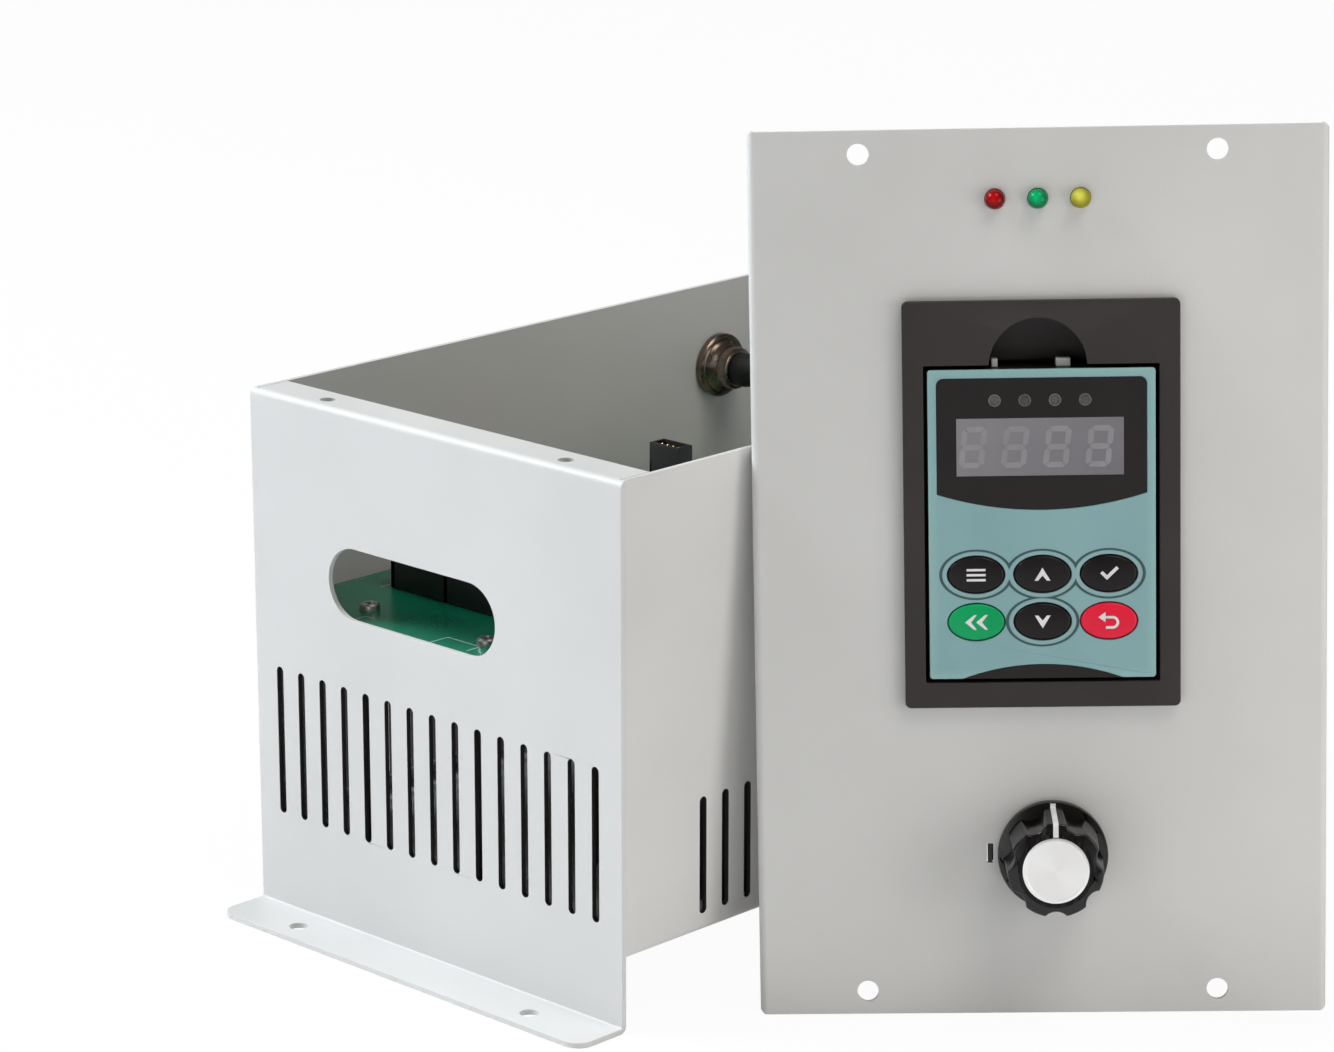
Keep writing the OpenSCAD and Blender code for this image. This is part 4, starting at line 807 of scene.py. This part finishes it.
# Screws with a crossed recess, made once for each set on the place and axis the CAD gives it
screwSets = {
    "module_screws": {  # a fourth value is a screw's own length
        "radius": 3.5, "rise": 3.0, "thread": 2.0,
        "at": ((-41, 51.5, 75.5, 11.9), (41, 51.5, 75.5, 11.9), (-28, 13.5, 79.5, 15.9))},
    "board_screws": {
        "radius": 2.8, "rise": 2.2, "thread": 1.5, "length": 9.5,
        "at": ((-38.4, -100.6, 88), (7.2, -100.6, 88), (52.8, -100.6, 88), (-58, 66.6, 88), (58, 66.6, 88))},
    "terminal_screws": {
        "radius": 3.5, "rise": 2.0, "thread": 2.0, "length": 0.5,
        "at": tuple((-50.4 + (i + 0.5) * 23, -74, 101) for i in range(4))},
    "heatsink_screws": {
        "radius": 3.75, "rise": 2.4, "thread": 2.0, "length": 9.9, "turn": about(180, "X"),
        "at": tuple((x, y, 20) for x in (-45.5, 45.5) for y in (5.5, 69.5))},
    "fan_screws": {
        "radius": 3.75, "rise": 2.4, "thread": 2.0, "length": 9.9, "turn": about(-90, "X"),
        "at": tuple((x, 114, z) for x in (-25, 25) for z in (27.5, 77.5))},
}


def crossScrew(look, length):
    bm = bmesh.new()
    radius, rise = look["radius"], look["rise"]
    arm, wide = radius * 0.58, radius * 0.13
    cross = [
        (wide, wide), (arm, wide), (arm, -wide), (wide, -wide), (wide, -arm), (-wide, -arm),
        (-wide, -wide), (-arm, -wide), (-arm, wide), (-wide, wide), (-wide, arm), (wide, arm)]
    verts = [bm.verts.new((x * mm, y * mm, rise * mm)) for x, y in cross]
    loop = [bm.edges.new((verts[i], verts[(i + 1) % 12])) for i in range(12)]
    levels = (
        (radius * 0.74, rise), (radius * 0.93, rise * 0.82), (radius, rise * 0.5), (radius, 0),
        (look["thread"], 0), (look["thread"], -length))
    rings = [ringOf(bm, *level, 36) for level in levels]
    bmesh.ops.bridge_loops(bm, edges=loop + ringEdges(rings[0]))
    skinRings(bm, rings)
    closeRing(bm, rings[-1])
    deep = newVerts(bmesh.ops.extrude_edge_only(bm, edges=loop))
    bmesh.ops.translate(bm, vec=(0, 0, -rise * 0.55 * mm), verts=deep)
    bmesh.ops.scale(bm, vec=(0.8, 0.8, 1), verts=deep)
    closeRing(bm, deep)
    bmesh.ops.recalc_face_normals(bm, faces=bm.faces)
    return bm


def makeScrews(node, look):
    bm = bmesh.new()
    for number, (x, y, z, *length) in enumerate(look["at"]):
        place = at(x, y, z) @ look.get("turn", Matrix.Identity(4)) @ Matrix.Rotation(0.5 + number * 1.7, 4, "Z")
        addPart(bm, crossScrew(look, length[0] if length else look["length"]), place)
    newPiece(node.replace("_", "") + "Crossed", bm, "zincSteel", node)


for node, look in screwSets.items():
    makeScrews(node, look)
print("screws made")


def roundedBar(size, edge, segments, index=0):  # a block with eased edges, standing on Z = 0
    bm = bmesh.new()
    bmesh.ops.create_cube(bm, size=1)
    bmesh.ops.scale(bm, vec=[v * mm for v in size], verts=bm.verts)
    bmesh.ops.translate(bm, vec=(0, 0, size[2] / 2 * mm), verts=bm.verts)
    bmesh.ops.bevel(
        bm, geom=bm.edges[:], offset=edge * mm, affect="EDGES", segments=segments, profile=0.5, material=-1)
    return tinted(bm, index)


def addBlock(bm, size, edge, segments, place, index=0):
    addPart(bm, roundedBar(size, edge, segments, index), at(*place))


def rod(radius, length, steps, index=0):  # a round wire along Z
    bm = bmesh.new()
    bmesh.ops.create_cone(
        bm, cap_ends=True, segments=steps, radius1=radius * mm, radius2=radius * mm, depth=length * mm)
    return tinted(bm, index)


# Board fittings too small for the CAD: resistors, film and disc capacitors, packages and cans, each at x, y and a turn
boardLook = {
    "top": 88.0,
    "resistors": (
        (-52, 40, 0), (-52, 44, 0), (-52, 48, 0), (-20, 40, 90), (-16, 40, 90), (-12, 40, 90), (6, -14, 0), (6, -9, 0),
        (-54, -52, 90), (-50, -52, 90), (52, 52, 90), (56, 52, 90)),
    "films": ((-54, 56, 0), (-40, 46, 90), (10, 22, 90), (-2, -62, 0)),
    "packages": ((-22, 54, 0), (-6, 54, 0), (10, 52, 0)),
    "discs": ((-6, 8, 0), (-6, 14, 0), (8, 38, 90), (26, 60, 0)),
    "cans": ((0, 30, 0), (-12, 20, 0), (54, -24, 0)),
}
resistorHalf = ((0, 3.2), (0.9, 3.2), (1.15, 2.9), (1.15, 2.1), (0.95, 1.8))
discHalf = ((0, 1.2), (2.6, 1.0), (3.3, 0.5))
canOutline = (
    (0, 0), (3.0, 0), (3.15, 0.3), (3.15, 1.0), (2.85, 1.35), (3.15, 1.8), (3.15, 10.6), (2.8, 11.0), (2.5, 11.0),
    (2.45, 10.85), (0, 10.85))


def mirrored(half, middle=()):  # a half outline and its mirror image below it
    return [(r, -z) for r, z in half] + list(middle) + list(half[::-1])


def resistorPart():
    bm = turned(mirrored(resistorHalf), 20, 1)
    bm.transform(at(0, 0, 1.5) @ about(90, "Y"))
    for side in (-1, 1):
        addPart(bm, rod(0.3, 1.8, 10), at(side * 4.4, 0, 0.7))
        addPart(bm, rod(0.3, 1.6, 10), at(side * 3.8, 0, 1.5) @ about(90, "Y"))
    return bm


packageLook = {"size": (9.6, 6.4, 3.4), "rise": 0.6, "leg": (1.1, 0.3, 2.4), "pitch": 2.54, "legOut": 3.6}


def packagePart(look=packageLook):  # dual in-line package with eight legs
    bm = roundedBar(look["size"], 0.25, 1, 2)
    bmesh.ops.translate(bm, vec=(0, 0, look["rise"] * mm), verts=bm.verts)
    for side in (-1, 1):
        for leg in range(4):
            addBlock(bm, look["leg"], 0.08, 1, ((leg - 1.5) * look["pitch"], side * look["legOut"]))
    return bm


def discPart():
    bm = turned(mirrored(discHalf, [(3.4, 0)]), 28, 3)
    bm.transform(at(0, 0, 4.4) @ about(90, "X"))
    for side in (-1, 1):
        addPart(bm, rod(0.3, 2.6, 10), at(side * 1.6, 0, 1.1))
    return bm


def canPart(sleeve=4):  # small electrolytic: sleeve, rolled groove, bright top
    bm = turned(canOutline, 32, sleeve)
    for face in bm.faces:
        centre = face.calc_center_median()
        if centre.z > 10.7 * mm and centre.xy.length < 2.6 * mm:
            face.material_index = 0
    return bm


def filmPart():
    return roundedBar((13, 5, 9.5), 0.5, 2, 5)


def makeBoardParts(look):
    bm = bmesh.new()
    kinds = {"resistors": resistorPart, "films": filmPart, "packages": packagePart, "discs": discPart, "cans": canPart}
    for kind, part in kinds.items():
        for x, y, turn in look[kind]:
            addPart(bm, part(), at(x, y, look["top"]) @ about(turn, "Z"))
    finish = ("zincSteel", "resistorBlue", "blackPlastic", "discTan", "capSleeve", "filmYellow")
    newPiece("boardFittings", bm, finish, body="chassis")


makeBoardParts(boardLook)

cardLook = {
    "face": -42.4, "can": (52, 104),
    "chip": (42, 106), "chipSize": (11, 11, 1.5), "pinSize": (0.35, 1.2, 0.5), "pinPitch": 0.8, "pinOut": 6.0,
    "packages": ((28, 94), (28, 108)), "packageSize": (5.0, 6.2, 1.5), "legSize": (0.9, 0.4, 0.5), "legPitch": 1.27,
    "rows": ((20, 96), (20, 100), (20, 104), (52, 94), (52, 97), (52, 116)), "rowPartSize": (1.6, 0.9, 0.7),
    "legOut": 2.9, "rowPitch": 2.6,
}


def makeCardParts(look):  # what is soldered on the standing card's front
    bm = bmesh.new()
    onCard = at(0, look["face"]) @ about(90, "X")

    def put(part, x, z):
        addPart(bm, part, onCard @ at(x, z))

    put(roundedBar(look["chipSize"], 0.15, 1, 1), *look["chip"])
    for side in range(4):
        for leg in range(11):
            pin = roundedBar(look["pinSize"], 0.05, 1)
            pin.transform(about(side * 90, "Z") @ at((leg - 5) * look["pinPitch"], look["pinOut"]))
            put(pin, *look["chip"])
    for x, z in look["packages"]:
        put(roundedBar(look["packageSize"], 0.15, 1, 1), x, z)
        for side in (-1, 1):
            for leg in range(4):
                put(roundedBar(look["legSize"], 0.05, 1), x + side * look["legOut"], z + (leg - 1.5) * look["legPitch"])
    for x, z in look["rows"]:
        for step in range(4):
            put(roundedBar(look["rowPartSize"], 0.1, 1, 2), x + (step - 1.5) * look["rowPitch"], z)
    put(canPart(3), *look["can"])
    finish = ("zincSteel", "blackPlastic", "discTan", "capSleeve")
    newPiece("cardFittings", bm, finish, body="chassis")


makeCardParts(cardLook)
print("board fittings made")

# Terminal block: moulded base with pressure plates under its screws and raised partitions
terminalLook = {
    "left": -50.4, "front": -82.0, "depth": 16.0, "pitch": 23.0, "poles": 4, "low": 88.0, "base": 13.0, "wall": 15.0,
    "wallThick": 2.0, "plate": (12.0, 10.0, 0.9), "step": (19.6, 2.2, 6.6),
}


def makeTerminal(look):
    bm = bmesh.new()
    left, pitch, low, base, thick = look["left"], look["pitch"], look["low"], look["base"], look["wallThick"]
    width = pitch * look["poles"]
    middle = look["front"] + look["depth"] / 2
    addBlock(bm, (width, look["depth"], base - 1.2), 0.4, 2, (left + width / 2, middle, low))
    for wall in range(look["poles"] + 1):
        x = left + wall * pitch + (thick / 2 if wall == 0 else -thick / 2)
        addBlock(bm, (thick, look["depth"], look["wall"]), 0.35, 2, (x, middle, low))
    stepWide, stepDeep, stepOut = look["step"]
    for pole in range(look["poles"]):
        x = left + (pole + 0.5) * pitch
        addBlock(bm, look["plate"], 0.25, 2, (x, middle, low + base - 0.95), 1)
        for side in (-1, 1):
            addBlock(bm, (stepWide, stepDeep, base - 0.2), 0.3, 2, (x, middle + side * stepOut, low))
    newPiece("terminalBlock", bm, ("blackPlastic", "zincSteel"), "terminal_block")


makeTerminal(terminalLook)

# Electrolytic capacitors: printed sleeve, rolled groove at the foot, bright scored top
capLook = {
    "radius": 15.0, "height": 30.0, "at": ((38, -4), (38, 31)), "low": 88.0, "stripeTurn": -2.2, "stripeHalf": 0.32,
}


def makeCans(look):
    bm = bmesh.new()
    r, h = look["radius"], look["height"]
    outline = [
        (0, 0), (r - 1.2, 0), (r - 0.2, 0.4), (r, 1.2), (r, 2.6), (r - 0.9, 3.5), (r - 0.9, 3.9), (r, 4.8),
        (r, h - 2.2)]
    outline += arc(2.0, (20, 40, 60, 80), r - 2.0, h - 2.0) + [(r - 2.6, h), (r - 2.9, h - 0.25), (0, h - 0.25)]
    for x, y in look["at"]:
        can = turned(outline, 64)
        for face in can.faces:
            centre = face.calc_center_median()
            away = abs(math.atan2(centre.y, centre.x) - look["stripeTurn"])
            if centre.z > (h - 0.4) * mm and centre.xy.length < (r - 2.7) * mm:
                face.material_index = 1
            elif away < look["stripeHalf"] and 5 * mm < centre.z < (h - 2) * mm:
                face.material_index = 2
        for turn in (0, 60, 120):  # the safety vent, pressed as three crossing grooves
            addPart(can, roundedBar(((r - 3.6) * 1.5, 0.5, 0.18), 0.06, 1, 3), at(0, 0, h - 0.34) @ about(turn, "Z"))
        addPart(bm, can, at(x, y, look["low"]) @ Matrix.Rotation(0.4 + y * 0.01, 4, "Z"))
    finish = ("capSleeve", "canAluminium", "sleeveStripe", "zincSteel")
    newPiece("busCans", bm, finish, "bus_capacitors")


makeCans(capLook)

# Supply transformer: ferrite core in two halves round a taped winding on a bobbin
supplyLook = {"place": (-34, 18, 88), "size": (30, 26, 13)}


def makeSupply(look):
    bm = bmesh.new()
    wide, deep, tall = look["size"]
    for side in (-1, 1):
        addBlock(bm, (wide, 5.2, tall - 2.2), 0.4, 2, (0, side * (deep / 2 - 4.6), 2.0), 1)
    addBlock(bm, (wide, 5.0, tall - 2.0), 0.3, 2, (0, 0, 2.0), 1)
    addBlock(bm, (wide - 8, deep - 5.0, tall - 2.1), 2.2, 4, (0, 0, 2.1))
    addBlock(bm, (wide - 4, deep, 2.2), 0.3, 2, (0, 0, 0), 2)
    for side in (-1, 1):
        addBlock(bm, (0.25, 5.6, tall - 1.9), 0.08, 1, (side * (wide / 2 - 0.1), 0, 2.0))
    finish = ("yellowTape", "ferrite", "blackPlastic")
    newPiece("supplyCore", bm, finish, "supply_transformer", at(*look["place"]))


makeSupply(supplyLook)

# Filter choke: ring in a potting cup with a filled face
chokeLook = {"place": (-30, -32, 88), "outer": 20.0, "bore": 9.0, "height": 16.0, "wall": 1.2}


def makeChoke(look):
    outer, bore, h, wall = look["outer"], look["bore"], look["height"], look["wall"]
    bm = turned([
        (bore, 1.2), (bore + 1.0, 0), (outer - 1.0, 0), (outer, 1.2), (outer, h - 0.6), (outer - 0.4, h),
        (outer - wall, h), (outer - wall - 0.15, h - 0.9), ((outer + bore) / 2, h - 1.2), (bore + wall + 0.15, h - 0.9),
        (bore + wall, h), (bore + 0.4, h), (bore, h - 0.6), (bore, 1.2)], 72)
    for face in bm.faces:
        centre = face.calc_center_median()
        filled = centre.z > (h - 1.25) * mm and (bore + wall) * mm < centre.xy.length < (outer - wall) * mm
        face.material_index = 1 if filled else 0
    for turn in (35, 125, 215, 305):
        addPart(bm, rod(0.7, 3.0, 14, 2), about(turn, "Z") @ at(outer - 0.75, 0, 1.0))
    finish = ("blackPlastic", "pottingAmber", "zincSteel")
    newPiece("chokeRing", bm, finish, "filter_choke", at(*look["place"]))


makeChoke(chokeLook)
print("power board pieces made")

# Fan rotor: a cup-shaped hub on its shaft, with blades curved over their chord and raked back along their length
rotorLook = {
    "place": (0, 112.5, 52.5), "hub": 13.0, "hubLow": 5.0, "hubTop": 23.0, "shaft": 1.5, "tip": 27.5, "blades": 7,
    "chord": 13.5, "pitch": 48, "camber": 1.6, "thick": 1.2, "rake": 9.0, "steps": 8,
}


def makeRotor(look):
    r, low, top, shaft = look["hub"], look["hubLow"], look["hubTop"], look["shaft"]
    bm = turned([
        (0, top), (r - 3.4, top), (r - 3.0, top - 0.35), (r - 2.2, top - 0.35), (r - 1.8, top), (r - 0.9, top),
        (r - 0.25, top - 0.3), (r, top - 1.0), (r, low + 0.2), (r - 0.2, low), (r - 1.3, low), (r - 1.5, low + 0.3),
        (r - 1.5, top - 1.5), (shaft, top - 1.5), (shaft, 0.3), (shaft - 0.3, 0), (0, 0)], 72)
    lean = math.radians(look["pitch"])
    middle = (low + top) / 2
    for blade in range(look["blades"]):
        part = bmesh.new()
        bmesh.ops.create_grid(part, x_segments=look["steps"], y_segments=look["steps"], size=1)
        for v in part.verts:
            out = (v.co.x + 1) / 2
            across = v.co.y * look["chord"] / 2 * (0.86 + 0.14 * out)
            arch = look["camber"] * (1 - v.co.y ** 2)
            radius = r - 0.4 + (look["tip"] - r + 0.1) * out
            side = across * math.cos(lean) - arch * math.sin(lean)
            turn = side / radius + math.radians(look["rake"]) * out
            height = middle + across * math.sin(lean) + arch * math.cos(lean) - 0.8
            v.co = (radius * math.cos(turn) * mm, radius * math.sin(turn) * mm, height * mm)
        bmesh.ops.solidify(part, geom=part.faces[:], thickness=look["thick"] * mm)
        addPart(bm, part, about(360 * blade / look["blades"], "Z"))
    newPiece("rotorCup", bm, "blackPlastic", "fan_rotor", at(*look["place"]) @ about(90, "X"))


makeRotor(rotorLook)

# Socket through the left wall, seen from inside: chamfered ring nut, barrel, boot
socketLook = {
    "place": (-70, 68, 122), "nutRadius": 9.5, "nutLow": 1.5, "nutHigh": 4.5, "threadRadius": 8.0, "threadEnd": 6.0,
    "threadPitch": 0.5, "barrel": 6.3, "barrelEnd": 10.5,
    "flange": (
        (10.1, 0.0), (10.5, -0.4), (10.5, -1.6), (10.1, -2.0), (7.9, -2.0), (7.5, -2.3), (7.5, -10.5), (7.1, -11.0),
        (6.3, -11.0), (6.0, -10.7), (6.0, -2.0), (5.0, -2.0)),
    "boot": (
        (0, 10.5), (4.7, 10.5), (5.0, 10.9), (5.0, 13.2), (4.85, 14.6), (4.4, 15.9), (3.7, 16.9), (3.1, 17.3),
        (3.0, 17.8), (3.0, 19.2), (2.8, 19.5), (0, 19.5)),
}


def makeSocket(look):
    low, high, r, t = look["nutLow"], look["nutHigh"], look["nutRadius"], look["threadRadius"]
    nut = [
        (t, low), (r - 0.4, low), (r, low + 0.4), (r, high - 0.9), (r - 0.5, high - 0.35), (r - 1.2, high),
        (t + 0.25, high), (t, high - 0.2), (t, low)]
    b, end, threadEnd = look["barrel"], look["barrelEnd"], look["threadEnd"]
    shell = [
        (5.0, end), (b - 0.9, end), (b - 0.25, end - 0.35), (b, end - 0.9), (b, threadEnd + 0.8),
        (b + 0.7, threadEnd + 0.3), (t - 0.35, threadEnd)]
    for turn in range(12):
        level = threadEnd - 0.3 - turn * look["threadPitch"]
        shell += [(t, level), (t - 0.28, level - 0.25)]
    shell += [(t, 0.0), *look["flange"], (5.0, end)]
    place = at(*look["place"]) @ about(90, "Y")
    for name, outline, steps, finish, node, sharp in (
            ("socketRing", nut, 64, "nickelBrass", "socket_nut", 30),
            ("socketShell", shell, 64, "nickelBrass", "socket_shell", 30),
            ("socketBoot", look["boot"], 48, "rubberBlack", "socket_boot", 40)):
        newPiece(name, turned(outline, steps), finish, node, place, sharp=sharp)


makeSocket(socketLook)

# Header on the card: a shroud with a well for its pins and a rib at each end
headerLook = {
    "place": (21.05, -45.2, 118.0), "size": (10.7, 5.6, 17.0), "well": (8.0, 3.0, 5.0), "pins": 4, "pitch": 2.0,
}


def makeHeader(look):
    bm = bmesh.new()
    wide, deep, tall = look["size"]
    wellX, wellY, wellZ = look["well"]
    addBlock(bm, look["size"], 0.25, 2, (0, 0))
    up = [f for f in bm.faces if f.normal.z > 0.99 and f.calc_center_median().z > (tall - 0.1) * mm][0]
    bmesh.ops.inset_individual(bm, faces=[up], thickness=(min(wide - wellX, deep - wellY) / 2 - 0.25) * mm)
    made = bmesh.ops.extrude_discrete_faces(bm, faces=[up])["faces"]
    bmesh.ops.translate(bm, vec=(0, 0, -wellZ * mm), verts=made[0].verts)
    for pin in range(look["pins"]):
        x = (pin - (look["pins"] - 1) / 2) * look["pitch"]
        addBlock(bm, (0.64, 0.64, wellZ - 0.5), 0.12, 1, (x, 0, tall - wellZ), 1)
    for side in (-1, 1):
        addBlock(bm, (0.9, deep, tall - 5.0), 0.2, 1, (side * (wide / 2 - 0.45), 0))
    newPiece("headerShroud", bm, ("blackPlastic", "brass"), "control_header", at(*look["place"]))


makeHeader(headerLook)
print("socket and header made")

# Floor, backdrop and light
studio = {
    "floorSize": 8.0,
    "floorWhite": 0.8,
    "floorGlow": 0.96,
    "world": 0.13,
    "worldTint": (1.0, 0.95, 0.87, 1),
    "aim": (0.03, -0.03, 0.08),
    "lamps": (  # name, direction it comes from, distance, size, watts, colour
        ("keyLamp", (-0.6, -0.42, 0.68), 2.2, 0.9, 56.5, (0.9, 0.95, 1.0)),
        ("topLamp", (0.45, -0.02, 0.89), 1.8, 0.9, 10.5, (1.0, 0.96, 0.9)),
        ("sideLamp", (0.96, 0.16, 0.17), 0.6, 0.3, 0.84, (1.0, 0.98, 0.965)),
        ("lowLamp", (0.35, -0.93, -0.05), 0.7, 0.4, 0.62, (0.98, 0.98, 1.0)),
    ),
}


def makeLamp(name, direction, distance, size, watts, colour):
    data = bpy.data.lights.new(name, "AREA")
    data.size = size
    data.energy = watts
    data.color = colour
    lamp = shown(name, data)
    away = Vector(direction).normalized()
    lamp.location = Vector(studio["aim"]) + away * distance
    lamp.rotation_euler = away.to_track_quat("Z", "Y").to_euler()


def makeFloor(look):
    bm = bmesh.new()
    bmesh.ops.create_grid(bm, x_segments=2, y_segments=2, size=look["floorSize"] / 2)
    mesh = meshOf(bm, "floor")
    white = (look["floorWhite"],) * 3 + (1,)
    tree, shader = newMaterial("floorWhite", {"Base Color": white, "Roughness": 0.9})
    glow = addNode(tree, "Emission", Color=(1, 1, 1, 1), Strength=1.0)
    rays = addNode(tree, "LightPath")
    seen = math2(tree, "MAXIMUM", rays.outputs["Is Camera Ray"], rays.outputs["Is Glossy Ray"])
    seen = times(tree, seen, look["floorGlow"])
    mix = addNode(tree, "MixShader", in0=seen, in1=shader.outputs[0], in2=glow.outputs[0])
    tree.links.new(mix.outputs[0], tree.nodes["Material Output"].inputs["Surface"])
    mesh.materials.append(finishes["floorWhite"])
    shown("floor", mesh)


def makeWorld(strength, fill):  # white to the camera, a dimmer warm fill to everything else
    world = bpy.data.worlds.new("studio")
    world.use_nodes = True
    tree = world.node_tree
    background = tree.nodes["Background"]
    rays = addNode(tree, "LightPath")
    seen = math2(tree, "MAXIMUM", rays.outputs["Is Camera Ray"], rays.outputs["Is Transmission Ray"])
    feed(tree, background, "Strength", spread(tree, seen, 0.0, 1.0, strength, 1.0))
    feed(tree, background, "Color", mixColour(tree, seen, fill, (1, 1, 1, 1)))
    bpy.context.scene.world = world


for lamp in studio["lamps"]:
    makeLamp(*lamp)
makeFloor(studio)
makeWorld(studio["world"], studio["worldTint"])
bpy.context.scene.view_settings.view_transform = "Standard"

print("scene done")
